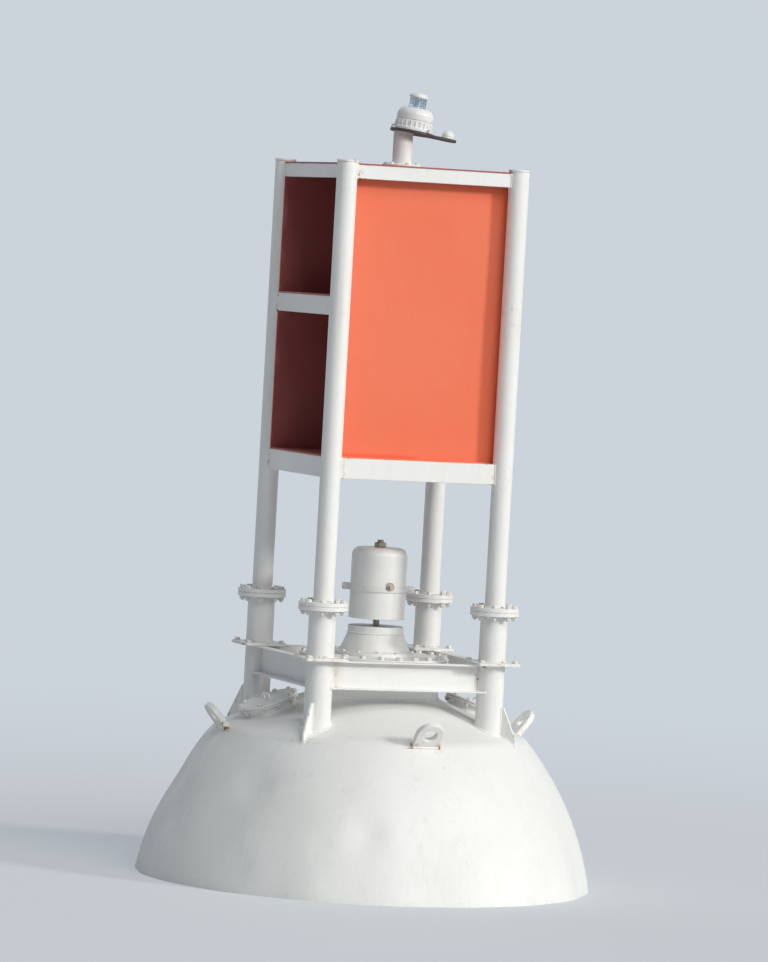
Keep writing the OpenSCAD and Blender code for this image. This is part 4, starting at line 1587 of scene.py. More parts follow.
@dataclass
class LowerFrame:
    """The pipe posts on the crown, the channels between them and the stubs on top."""

    form: HullForm  # the hull, which the posts stand on
    leg_half: float  # half the distance between neighbouring legs
    post_radius: float = 0.0725
    channel_thick: float = 0.009
    knee_thick: float = 0.014
    knee_up: float = 0.167  # the height of the knee plate above the crown's edge
    knee_over: float = 0.054  # how far it reaches out past the crown's edge
    knee_weld: float = 0.006  # the radius of its weld beads
    plate_half: float = 0.120  # half the side of a stub's foot plate
    plate_thick: float = 0.016
    flange_radius: float = 0.13
    flange_thick: float = 0.022
    flange_bolts: int = 8
    bolt: Bolt = Bolt(0.018)
    bolt_circle: float = 0.104  # the radius of the bolts' circle in a flange

    def knee(self) -> Shape:
        """Gives one knee plate in the plane of +X and +Z, with its foot in the hull, and its welds.

        On each side a bead runs along the hull and another up the post.

        Returns:
            The plate.
        """
        form, thick = self.form, self.knee_thick
        edge, rise = form.crown_edge
        foot, top = rise - form.shoulder_radius, rise + self.knee_up
        centre = self.leg_half * np.sqrt(2.0)
        post, tip = centre + self.post_radius, edge + self.knee_over
        outline = trace([(centre, foot), (tip, foot), (tip, rise), (post + thick, top), (centre, top)],
                        0.002, 0.005, closed=True, step=0.03)
        shapes = [plate(outline, -0.5 * thick, 0.5 * thick).moved(STANDING)]
        reach = np.linspace(post - 0.002, tip, 24)
        height = form.height(reach)
        for y in (-0.5 * thick, 0.5 * thick):
            along = np.column_stack([reach, np.full(len(reach), y), height])
            shapes.append(bead(along, UP, self.knee_weld, False))
            shapes.append(seam((post, y, height[0]), (post, y, top), FORWARD, self.knee_weld, 16))
        return join(*shapes)

    def post(self, corner: Corner, top: float) -> Shape:
        """Gives a post with its knee plate and its welds.

        The bead at its foot follows the pipe's circle at the height that the hull's skin has there.

        Args:
            corner: the signs of x and y.
            top: the height of the post's top.

        Returns:
            The post.
        """
        place = at_corner(corner, self.leg_half)
        ring = circle(self.post_radius, 0.0, 72) + place
        foot = self.form.height(np.hypot(ring[:, 0], ring[:, 1]))
        pipe = drum(self.post_radius, foot.min() - 0.02, top, 48, 0.001, 0.004, 0.02).moved(place=place)
        weld = bead(np.column_stack([ring[:, :2], foot]), UP, 0.009)
        return join(pipe, weld, self.knee().moved(turned(np.degrees(np.arctan2(corner[1], corner[0])))))

    def stub(self, corner: Corner, low: float, high: float) -> Shape:
        """Gives a stub: a square foot plate, a pipe and a round flange, with their welds.

        Args:
            corner: the signs of x and y.
            low, high: the heights of its foot and of the joint above it.

        Returns:
            The stub.
        """
        square = rounded_box(self.plate_half, self.plate_half, 0.012)
        foot = plate(square, low, low + self.plate_thick, wear=0.006)
        foot.rust = foot.rust + 0.05
        pipe = drum(self.post_radius, low, high, 48, step=0.02)
        flange = drum(self.flange_radius, high - self.flange_thick, high)
        welds = [ring_bead(self.post_radius, z, size) for z, size in (
            (low - 0.001, 0.007), (low + self.plate_thick, 0.008), (high - self.flange_thick, 0.008))]
        return join(foot, pipe, flange, *welds).moved(place=at_corner(corner, self.leg_half))

    def build(self, yard: Yard) -> None:
        """Makes the posts, channels, stubs and bolts.

        Args:
            yard: where pieces are made.
        """
        top, joint = extent("post_front_left")[2], extent("stub_front_left")[2]
        for name, corner in CORNERS.items():
            yard.piece(f"post_{name}_pipe", self.post(corner, top), node="post_" + name)
            yard.piece(f"stub_{name}_pipe", self.stub(corner, top, joint), node="stub_" + name)
        for side in Side:
            node = "channel_" + side.name
            bar = channel(*box_from_front(node, side), self.channel_thick, self.post_radius, True,
                          self.leg_half)
            yard.piece(node + "_bar", bar.moved(turned(side.value)), node=node)
        places = np.array([at_corner(corner, self.leg_half) for corner in CORNERS.values()])
        axes = np.repeat(np.eye(3)[None], len(places), axis=0)
        feet = self.bolt.head().ringed(4, (self.plate_half - 0.026) * np.sqrt(2.0),
                                       top + self.plate_thick, 45.0)
        yard.piece("foot_plate_bolts", feet.stamped(places, axes), Coat.BOLT, sharp=SHARP_BOLT)
        bolts = self.bolt.through(self.flange_bolts, self.bolt_circle, joint + self.flange_thick,
                                  joint - self.flange_thick, 22.5)
        yard.piece("flange_bolts", bolts.stamped(places, axes), Coat.BOLT, sharp=SHARP_BOLT)


@dataclass
class Tower:
    """The four pipe legs and the bars between them."""

    leg_half: float  # half the distance between neighbouring legs
    leg_radius: float = 0.0545
    flange_radius: float = LowerFrame.flange_radius
    flange_thick: float = LowerFrame.flange_thick
    cap_height: float = 0.012
    cap_lip: float = 0.003  # how far a leg's cap stands out
    bar_thick: float = 0.008

    def leg(self, corner: Corner, low: float, high: float) -> Shape:
        """Gives a leg with its flange, its cap and the weld between leg and flange.

        Args:
            corner: the signs of x and y.
            low, high: the heights of its foot and top.

        Returns:
            The leg.
        """
        neck = high - self.cap_height
        flange = drum(self.flange_radius, low + 0.0008, low + self.flange_thick)
        pipe = drum(self.leg_radius, low, neck, 40, step=0.03)
        cap = drum(self.leg_radius + self.cap_lip, neck, high, 40, 0.003, 0.004)
        weld = ring_bead(self.leg_radius, low + self.flange_thick, 0.008)
        return join(flange, pipe, cap, weld).moved(place=at_corner(corner, self.leg_half))

    def build(self, yard: Yard) -> None:
        """Makes the legs and bars.

        Args:
            yard: where pieces are made.
        """
        for name, corner in CORNERS.items():
            low, high = extent("leg_" + name)[1:]
            yard.piece(f"leg_{name}_pipe", self.leg(corner, low, high), node="leg_" + name)
        nodes = [(f"{level}_bar_{side.name}", side) for level in ("bottom", "middle", "top") for side in Side]
        for node, side in nodes:
            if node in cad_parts:
                bar = channel(*box_from_front(node, side), self.bar_thick, self.leg_radius, False,
                              self.leg_half)
                yard.piece(node + "_steel", bar.moved(turned(side.value)), node=node)


@dataclass
class Daymark:
    """The two flat daymark panels and the reflector's plates between them, in a darker red that is painted
    shade for the inside of its pockets.
    """

    leg_half: float  # half the distance between neighbouring legs
    leg_radius: float = Tower.leg_radius
    bar_width: float = 0.050  # the width of the side bars' toes, which the panels are notched for
    bow: float = 0.0035  # how far a panel's middle has sprung out or in
    lip: float = 0.0015  # the width of the chamfer round a panel
    step: float = 0.032  # the longest piece to leave whole across a panel
    ledge: float = 0.034  # the width of the strip between a panel's foot and the bar
    ledge_thick: float = 0.005
    stitches: int = 8  # the welds in a row
    stitch: float = 0.06  # the length of each
    weld: float = 0.0035  # the radius of the weld beads

    def ruled(self, stops: Sequence[float]) -> Array:
        """Gives even steps from the first stop to the last, with each stop and a lip beside it.

        Args:
            stops: the places that have to be among them, in order.

        Returns:
            The places.
        """
        marks = np.asarray(stops)
        even = np.linspace(marks[0], marks[-1], int((marks[-1] - marks[0]) / self.step) + 1)
        clear = np.abs(even[:, None] - marks[None, :]).min(axis=1) > 4.0 * self.lip
        places = np.concatenate([marks - self.lip, marks, marks + self.lip, even[clear]])
        return np.unique(np.clip(places, marks[0], marks[-1]))

    def panel(self, low: Array, high: Array) -> Shape:
        """Gives a panel on the front side as two skins and the rim between them.

        Each skin is a grid in x and z without the cells of the notches. Its y adds a slow wave,
        bow sin(pi x / notch) sin(pi storey), that is nothing where the reflector's plates hold
        it, and both skins bend together. A point is on the rim where only some of the cells
        round it are kept, and there the skins draw together by the lip.

        Args:
            low, high: the lowest and highest corners.

        Returns:
            The panel, its outer skin in the first finish and the inner one in the second, the darker red of
            painted pocket shade.
        """
        half = high[0]
        notch = box("middle_bar_right")[1][0] - self.bar_width - SEAT
        bars = [extent(bar) for bar in ("middle_bar_right", "top_bar_right")]
        spans = [(foot - SEAT, top + SEAT) for _, foot, top in bars]
        across = self.ruled((-half, -notch, notch, half))
        up = self.ruled((low[2], *spans[0], spans[1][0], high[2]))
        middle_x, middle_z = 0.5 * (across[1:] + across[:-1]), 0.5 * (up[1:] + up[:-1])
        in_bar = np.any([(middle_z > foot) & (middle_z < top) for foot, top in spans], axis=0)
        kept = ~(in_bar[:, None] & (np.abs(middle_x) > notch)[None, :])
        cells = np.pad(kept, 1)
        corners = np.stack([cells[:-1, :-1], cells[:-1, 1:], cells[1:, :-1], cells[1:, 1:]])
        used, rim = corners.any(axis=0), corners.any(axis=0) & ~corners.all(axis=0)
        beside = np.pad(rim, 1)
        worn = rim | beside[2:, 1:-1] | beside[:-2, 1:-1] | beside[1:-1, 2:] | beside[1:-1, :-2]
        x, z = np.meshgrid(across, up)
        storey = np.interp(z, (low[2], extent("reflector_shelf")[1], high[2]), (0.0, 1.0, 2.0))
        wave = self.bow * np.sin(np.pi * np.clip(x / notch, -1.0, 1.0)) * np.sin(np.pi * storey)
        number = np.arange(used.size).reshape(used.shape)
        level, upright = cells[:-1, 1:-1] != cells[1:, 1:-1], cells[1:-1, :-1] != cells[1:-1, 1:]
        starts = np.concatenate([number[:, :-1][level], number[:-1][upright]])
        ends = np.concatenate([number[:, 1:][level], number[1:][upright]])
        face = grid_faces(*used.shape, False, False)[kept.ravel()]
        faces = [face, face + used.size, np.stack([starts, ends, ends + used.size, starts + used.size], 1)]
        depth = np.stack([low[1] + wave + self.lip * rim, high[1] + wave - self.lip * rim])
        points = np.stack(np.broadcast_arrays(x, depth, z), axis=-1).reshape(-1, 3)
        here = np.tile(used.ravel(), 2)
        renumber = np.cumsum(here) - 1
        edge = np.tile(worn.ravel(), 2)[here].astype(float)
        return Shape(points[here], [renumber[block] for block in faces], edge, np.zeros(len(edge)), [0, 1, 0])

    def welds(self, low: Array, high: Array) -> Shape:
        """Gives short stitches of weld on both sides of the line where a leg lies on the panel.

        Args:
            low, high: the panel's lowest and highest corners.

        Returns:
            The stitches.
        """
        y, away = low[1], 0.3 * self.leg_radius
        stitches = [seam((x + side, y, start), (x + side, y, start + self.stitch), FRONT, self.weld, 8)
                    for start in np.linspace(low[2] + 0.03, high[2] - 0.16, self.stitches)
                    for x in (-self.leg_half, self.leg_half) for side in (-away, away)]
        return join(*stitches)

    def foot(self, low: Array) -> Shape:
        """Gives the strip from a panel's foot to the toe of the bottom bar, and its weld.

        Args:
            low: the panel's lowest corner.

        Returns:
            The strip.
        """
        reach, top = self.leg_half - self.leg_radius, low[2] + self.ledge_thick
        strip = plate(rounded_box(reach, 0.5 * self.ledge, 0.004), low[2], top, 0.001)
        weld = seam((-reach, low[1], top), (reach, low[1], top), FRONT, self.weld, 60)
        return join(strip.moved(place=(0.0, low[1] - 0.5 * self.ledge + 0.002, 0.0)), weld)

    def build(self, yard: Yard) -> None:
        """Makes the panels, and paints the reflector's plates in the darker red that is painted shade for the
        pockets.

        Args:
            yard: where pieces are made.
        """
        for side in (Side.front, Side.rear):
            node, turn = "panel_" + side.name, turned(side.value)
            low, high = box_from_front(node, side)
            sheet = join(self.panel(low, high), self.foot(low)).moved(turn)
            # the inner skins take the darker red of painted pocket shade
            yard.piece(node + "_sheet", sheet, [Coat.DAYMARK, Coat.REFLECTOR], "daymark_paint", node,
                       sharp=45.0)
            yard.piece(node + "_stitches", self.welds(low, high).moved(turn), Coat.DAYMARK,
                       "daymark_paint", sharp=SHARP_WELD)
        for part in ("floor", "shelf", "roof", "web_low", "web_high"):
            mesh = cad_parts["reflector_" + part].data
            mesh.materials.clear()
            mesh.materials.append(Coat.REFLECTOR.value.material())
            log.info("reflector_%s: painted", part)
        self.web_welds(yard)

    def web_welds(self, yard: Yard) -> None:
        """Lays the seams where the upright webs meet the level plates.

        Args:
            yard: where pieces are made.
        """
        seams = []
        for node in ("reflector_web_low", "reflector_web_high"):
            low, high = box(node)
            seams += [seam((x, low[1] + 0.04, z), (x, high[1] - 0.04, z), np.sign(x) * FORWARD, 0.005, 60)
                      for x in (low[0], high[0]) for z in (low[2], high[2])]
        yard.piece("reflector_seams", join(*seams), Coat.REFLECTOR, "reflector_paint", sharp=SHARP_WELD)


# The lantern


@dataclass
class Lantern:
    """The lantern on its post, with its plate and the sensor beside it."""

    tilt: float = 8.0  # the slope of the plate, down towards +X, in degrees
    post_radius: float = 0.052
    post_height: float = 0.188  # the post's height on its axis
    foot_radius: float = 0.105
    foot_thick: float = 0.014
    plate_thick: float = 0.014
    plate_radius: float = 0.120  # the radius of the plate's large end
    arm_radius: float = 0.048  # the radius of its small end
    offset: float = 0.050  # the distance from the post's axis to the lantern's
    sensor_offset: float = 0.205  # the distance from the lantern's axis to the sensor's
    body_radius: float = 0.098
    body_height: float = 0.124
    lens_radius: float = 0.046
    lens_height: float = 0.092  # the lens's height with its cap
    glass: float = 0.6  # the glass's share of that height
    sensor_radius: float = 0.034
    sensor_height: float = 0.046
    ridges: int = 7  # the ridges on the lens

    def __post_init__(self) -> None:
        """Works out the heights of the post's foot and top."""
        self.foot = extent("lantern_post")[1]
        self.top = self.foot + self.post_height

    def on_plate(self, shape: Shape, up: float, x: float | None = None) -> Shape:
        """Stands a shape on the tilted plate.

        Args:
            shape: the shape.
            up: its height above the plate's underside.
            x: its place along the plate, or None for the lantern's axis.

        Returns:
            The shape in its place.
        """
        axes = tilted(self.tilt)
        place = np.array([self.offset if x is None else x, 0.0, up]) @ axes + (0.0, 0.0, self.top)
        return shape.moved(axes, place)

    def post(self) -> Shape:
        """Gives the post, cut off along the plate, with its foot flange, bolts and welds.

        Returns:
            The post, its bolts in the second finish.
        """
        foot, seat = self.foot, self.foot + self.foot_thick
        slope = np.tan(np.radians(self.tilt))
        flange = drum(self.foot_radius, foot, seat)
        pipe = drum(self.post_radius, foot, self.top, 48, 0.0005, 0.003, 0.02)
        share = np.clip((pipe.points[:, 2] - foot) / self.post_height, 0.0, 1.0)
        pipe.points[:, 2] -= share * slope * pipe.points[:, 0]
        ring = circle(self.post_radius)
        ring[:, 2] = self.top - slope * ring[:, 0] - 0.001
        bolts = Bolt(0.014).head().ringed(6, self.foot_radius - 0.020, seat, 30.0).coated(1)
        return join(flange, pipe, ring_bead(self.post_radius, seat, 0.006), bead(ring, UP, 0.005), bolts)

    def plate_outline(self) -> Array:
        """Gives the plate's outline: a large round end, and an arm with a small round end.

        Returns:
            One row for each point.
        """
        meet = np.degrees(np.arcsin(self.arm_radius / self.plate_radius))
        return np.concatenate([arc((0.0, 0.0), self.plate_radius, meet, 360.0 - meet, 48),
                               arc((self.sensor_offset, 0.0), self.arm_radius, -90.0, 90.0, 16)])

    def body(self) -> Shape:
        """Gives the lantern's body: a foot ring, ribs round its wall and a rounded head.

        Returns:
            The body.
        """
        r, h = self.body_radius, self.body_height
        foot, round_r = r + 0.5 * self.foot_thick, h / 3.0
        head = arc((r - round_r, h - round_r), round_r, 0.0, 90.0, 8)
        skin = lathe([(0.0, 0.0), (foot, 0.0), (foot, self.foot_thick), (r, self.foot_thick + 0.003),
                      (r, 0.052), (r - 0.003, 0.053), (r - 0.003, 0.057), (r, 0.058), head, (0.0, h)], 96,
                     0.0012, 0.002)
        rib = plate(rounded_box(0.004, 0.0025, 0.001, 2), self.foot_thick, 0.050, 0.0008)
        ears = plate(rounded_box(0.014, 0.012, 0.005), 0.0, 0.010, 0.001)
        return join(skin, rib.moved(place=(r, 0.0, 0.0)).ringed(24, 0.0, 0.0),
                    ears.ringed(3, foot + 0.004, 0.0, 60.0))

    def lens(self) -> Shape:
        """Gives the lens as a hollow wall whose outside swells in even ridges.

        The radius adds 2.2 mm times |sin(pi ridges share)|, share being the height's from 0 to 1.

        Returns:
            The lens.
        """
        r, top = self.lens_radius, self.glass * self.lens_height
        z = np.linspace(0.004, top - 0.002, 12 * self.ridges + 1)
        swell = 0.0022 * np.abs(np.sin(np.pi * self.ridges * (z - z[0]) / (z[-1] - z[0])))
        outside = np.column_stack([r - 0.0025 + swell, z])
        rows = [(r - 0.008, 0.0), (r, 0.0), outside, (r - 0.002, top), (r - 0.008, top)]
        return lathe(rows, 72, 0.0006, 0.0, closed=True)

    def lens_cap(self) -> Shape:
        """Gives the cap over the lens, with the spike that keeps birds off.

        Returns:
            The cap.
        """
        r, h = self.lens_radius, self.lens_height
        low, crown = self.glass * h, arc((0.0, h - 0.052), 0.047, 62.0, 88.0, 6)
        cap = lathe([(0.0, low), (r + 0.004, low), (r + 0.006, low + 0.010), (r - 0.004, low + 0.021), crown],
                    64, 0.001, 0.002)
        spike = lathe([(0.0, h - 0.006), (0.003, h - 0.006), (0.0022, h - 0.001), (0.0, h)], 10, 0.0002, 0.0)
        return join(cap, spike)

    def sensor(self) -> Shape:
        """Gives the small sensor: a low foot and a dome.

        Returns:
            The sensor.
        """
        r, h = self.sensor_radius, self.sensor_height
        dome = arc((0.0, h - r), r - 0.0005, 2.0, 90.0, 14)
        return lathe([(0.0, 0.0), (r, 0.0), (r, 0.009), (r - 0.0015, 0.010), dome], 48, 0.001, 0.002)

    def build(self, yard: Yard) -> None:
        """Makes the lantern's pieces, from the foot up.

        Args:
            yard: where pieces are made.
        """
        yard.piece("lantern_post_pipe", self.post(), [Coat.WHITE, Coat.BOLT], node="lantern_post")
        shelf = plate(self.plate_outline(), 0.0, self.plate_thick, 0.0015, 0.004)
        yard.piece("lantern_shelf", self.on_plate(shelf, 0.0), Coat.PLATE, "lantern_plate", "lantern_plate")
        bolts = Bolt(0.010).head().ringed(3, self.body_radius + 0.5 * self.foot_thick + 0.008, 0.010, 60.0)
        stack = lathe([(0.0, 0.0), (0.030, 0.0), (0.030, 0.006), (0.018, 0.008), (0.018, 0.050),
                       (0.030, 0.052), (0.030, 0.055), (0.0, 0.055)], 40, 0.0008, 0.001)
        seat, lamp = self.plate_thick, self.plate_thick + self.body_height
        case, glass = self.on_plate(self.body(), seat), self.on_plate(self.lens(), lamp)
        sensor = self.on_plate(self.sensor(), seat, self.offset + self.sensor_offset)
        clean = {"slot": "lantern_plastic", "weathered": False}
        yard.piece("lantern_case", case, Coat.PLASTIC, node="lantern_body", **clean)
        yard.piece("lantern_case_bolts", self.on_plate(bolts, seat), Coat.SPINDLE, sharp=SHARP_BOLT, **clean)
        yard.piece("lantern_lens_glass", glass, Coat.LENS, "lantern_lens", "lantern_lens",
                   weathered=False, sharp=50.0)
        yard.piece("lantern_lamp_stack", self.on_plate(stack, lamp), Coat.PLASTIC, **clean)
        yard.piece("lantern_lens_cap", self.on_plate(self.lens_cap(), lamp), Coat.PLASTIC, **clean)
        yard.piece("sensor_dome", sensor, Coat.PLASTIC, node="sensor", **clean)


# Fittings on the crown


@dataclass
class Fittings:
    """The lifting eyes on the shoulder and the round pockets on the crown."""

    form: HullForm
    eye_half: float = 0.075  # half the width of a lifting eye
    eye_thick: float = 0.032
    eye_bore: float = 0.036  # the radius of its bore
    eye_up: float = 0.084  # the height of the bore above the shoulder
    eye_angle: float = 51.0  # the angle of the eyes above level, in degrees
    pocket_place: float = 0.5742  # the distance of the pockets from the axis
    pocket_radius: float = 0.1652  # the radius of a pocket's cover
    cover_thick: float = 0.022
    gasket: float = 0.002  # the thickness of the cover's gasket
    coaming: float = 0.034  # the height of the coaming below the cover
    lip: float = 0.022  # how far the cover overhangs its coaming
    cover_bolts: int = 10

    def eye(self) -> Shape:
        """Gives a lifting eye on the front side, with its weld.

        From the bore's centre the rim is at eye_half above and at the nearer of a side and the foot
        below. The plate is as wide as the round end and its foot is in the hull.

        Returns:
            The eye.
        """
        angle = np.linspace(0.0, FULL_TURN, 96, endpoint=False)
        ray = np.stack([np.cos(angle), np.sin(angle)], axis=1)
        side = self.eye_half / np.maximum(np.abs(ray[:, 0]), NEAR_ZERO)
        down = (self.eye_up + 0.012) / np.maximum(-ray[:, 1], NEAR_ZERO)
        reach = np.where(ray[:, 1] >= 0.0, self.eye_half, np.minimum(side, down))
        half = 0.5 * self.eye_thick
        body = drilled(ray * reach[:, None], ray * self.eye_bore, -half, half)
        body.points[:, 1] += self.eye_up
        foot = rounded_box(self.eye_half, half, 0.004)
        weld = bead(np.insert(foot, 1, 0.0, axis=1), np.array([0.0, 1.0, 0.0]), 0.008)
        point, out = self.form.on_shoulder(self.eye_angle)
        axes = np.array([[1.0, 0.0, 0.0], [0.0, -out[0], out[1]], [0.0, out[1], out[0]]])
        return join(body, weld).moved(axes, (0.0, -point[0], point[1]))

    def handle(self, top: float) -> Shape:
        """Gives the bent bar by which a cover is lifted, standing on the height top.

        Args:
            top: the height that it stands on.

        Returns:
            The handle.
        """
        half, rise, bend = 0.045, top + 0.020, 0.012
        grip = np.concatenate([line((-half, top), (-half, rise), 3)[:-1],
                               arc((bend - half, rise), bend, 180.0, 90.0, 5),
                               arc((half - bend, rise), bend, 90.0, 0.0, 5),
                               line((half, rise), (half, top), 3)[1:]])
        return tube(np.column_stack([np.zeros(len(grip)), grip]), FORWARD, 0.006, False, 10)

    def pocket(self) -> tuple[Shape, Shape]:
        """Gives a pocket at +X: the coaming with its cover and handle, and the cover's bolts.

        The coaming's weld is the circle of its foot, lifted along its axis until it meets the crown.

        Returns:
            The pocket and the bolts.
        """
        form, radius, seat = self.form, self.pocket_radius, self.coaming
        axes = tilted(form.crown_slope)
        centre = np.array([self.pocket_place, 0.0, float(form.height(self.pocket_place))])
        wall = drum(radius - self.lip, -0.02, seat, 64, 0.001, 0.003, 0.01)
        lower, top = seat + 0.009, seat + self.cover_thick
        flange = drum(radius - 0.002, seat, lower, 72, 0.0015, 0.004)
        gasket = drum(radius - 0.006, lower, lower + self.gasket, 72, 0.0004, 0.0).coated(1)
        lid = drum(radius, lower + self.gasket, top, 72, 0.002, 0.005)
        ring = circle(radius - self.lip, 0.0, 72)
        for _ in range(4):
            world = ring @ axes + centre
            ring[:, 2] += (form.height(np.hypot(world[:, 0], world[:, 1])) - world[:, 2]) * axes[2, 2]
        whole = join(wall, flange, gasket, lid, self.handle(top), bead(ring, UP, 0.007))
        bolts = Bolt(0.014).through(self.cover_bolts, radius - 0.014, top, seat, 18.0)
        return whole.moved(axes, centre), bolts.moved(axes, centre)

    def build(self, yard: Yard) -> None:
        """Makes the eyes and the pockets.

        Args:
            yard: where pieces are made.
        """
        for side in Side:
            node = "lifting_eye_" + side.name
            yard.piece(node + "_plate", self.eye().moved(turned(side.value)), node=node)
        body, bolts = self.pocket()
        for name, turn in TWINS:
            node = "pocket_" + name
            yard.piece(node + "_body", body.moved(turned(turn)), [Coat.WHITE, Coat.GASKET], node=node)
            yard.piece(node + "_bolts", bolts.moved(turned(turn)), Coat.BOLT, sharp=SHARP_BOLT)


# Below the water


@dataclass
class Tail:
    """The open tail tube with its knee plates, and the counterweight ring on its collar."""

    form: HullForm
    wall: float = 0.014  # the thickness of the tube's wall
    collar_width: float = 0.070
    collar_thick: float = 0.030
    collar_up: float = 0.090  # the collar's height above the tube's open end
    knee_height: float = 0.560  # the length of a knee plate down the tube
    knee_width: float = 0.420  # its reach from the tube
    knee_thick: float = 0.016
    knee_weld: float = 0.007  # the radius of its weld beads
    bevel: float = 0.040  # the bevel of the counterweight
    studs: int = 8
    casting: float = 0.0022  # how rough the counterweight's skin is

    def knees(self) -> Shape:
        """Gives the four knee plates between the tube and the hull's bottom, with their welds.

        Returns:
            The plates.
        """
        r, low, thick = self.form.tail_radius, self.form.low, self.knee_thick
        rise = np.tan(np.radians(self.form.bottom_slope))
        tip, foot = (r + self.knee_width, low + self.knee_width * rise), low - self.knee_height
        inner = r - 0.5 * self.wall
        outline = trace([(inner, foot), (r + thick, foot), tip, (inner, low - 0.5 * self.wall * rise)],
                        closed=True, step=0.05)
        shapes = [plate(outline, -0.5 * thick, 0.5 * thick).moved(STANDING)]
        for y in (-0.5 * thick, 0.5 * thick):
            shapes.append(seam((r, y, foot), (r, y, low), FORWARD, self.knee_weld, 30))
            shapes.append(seam((r, y, low), (tip[0], y, tip[1]), DOWN, self.knee_weld, 30))
        return join(*shapes).ringed(4, 0.0, 0.0, 45.0)

    def weight(self, outer: float, low: float, high: float) -> Shape:
        """Gives the cast ring, its skin pushed in by slow waves.

        Away from the tube the radius adds casting (sin(9 a + 40 h) sin(23 a) - 1), a being the
        angle and h the height.

        Args:
            outer: the ring's radius.
            low, high: the heights of its faces.

        Returns:
            The ring.
        """
        inner, b = self.form.tail_radius + SEAT, self.bevel
        cast = lathe([(inner, low), (outer - b, low), (outer, low + b), (outer, high - b),
                      (outer - b, high), (inner, high)], 128, 0.008, 0.010, closed=True, step=0.03)
        x, y, height = cast.points.T
        around, radius = np.arctan2(y, x), np.hypot(x, y)
        rough = self.casting * (np.sin(9.0 * around + 40.0 * height) * np.sin(23.0 * around) - 1.0)
        away = radius > self.form.tail_radius + 0.02
        scale = np.where(away, 1.0 + rough / np.maximum(radius, NEAR_ZERO), 1.0)
        cast.points[:, :2] *= scale[:, None]
        return cast

    def build(self, yard: Yard) -> None:
        """Makes the tube and the counterweight.

        Args:
            yard: where pieces are made.
        """
        r, low, top = self.form.tail_radius, extent("tail_tube")[1], self.form.low
        pipe = lathe([(r, low), (r, top), (r - self.wall, top), (r - self.wall, low)], closed=True,
                     step=0.06)
        collar_z = low + self.collar_up
        collar = drum(r + self.collar_width, collar_z, collar_z + self.collar_thick, 96, 0.003,
                      inner=r - 0.002)
        under = ring_bead(r, collar_z, 0.009, 96)
        middle = ring_bead(r + 0.001, 0.5 * (low + top), 0.006, 96)
        yard.piece("tail_pipe", join(pipe, collar, under, middle, self.knees()), Coat.BOTTOM,
                   "bottom_paint", "tail_tube")
        outer, foot, head = extent("counterweight")
        yard.piece("counterweight_ring", self.weight(outer, foot, head), Coat.CAST, "cast_weight",
                   "counterweight")
        studs = Bolt(0.030).nut().ringed(self.studs, 0.5 * (outer - self.bevel + r), head - 0.001)
        yard.piece("counterweight_studs", studs, Coat.STEEL, "cast_weight", sharp=SHARP_BOLT)


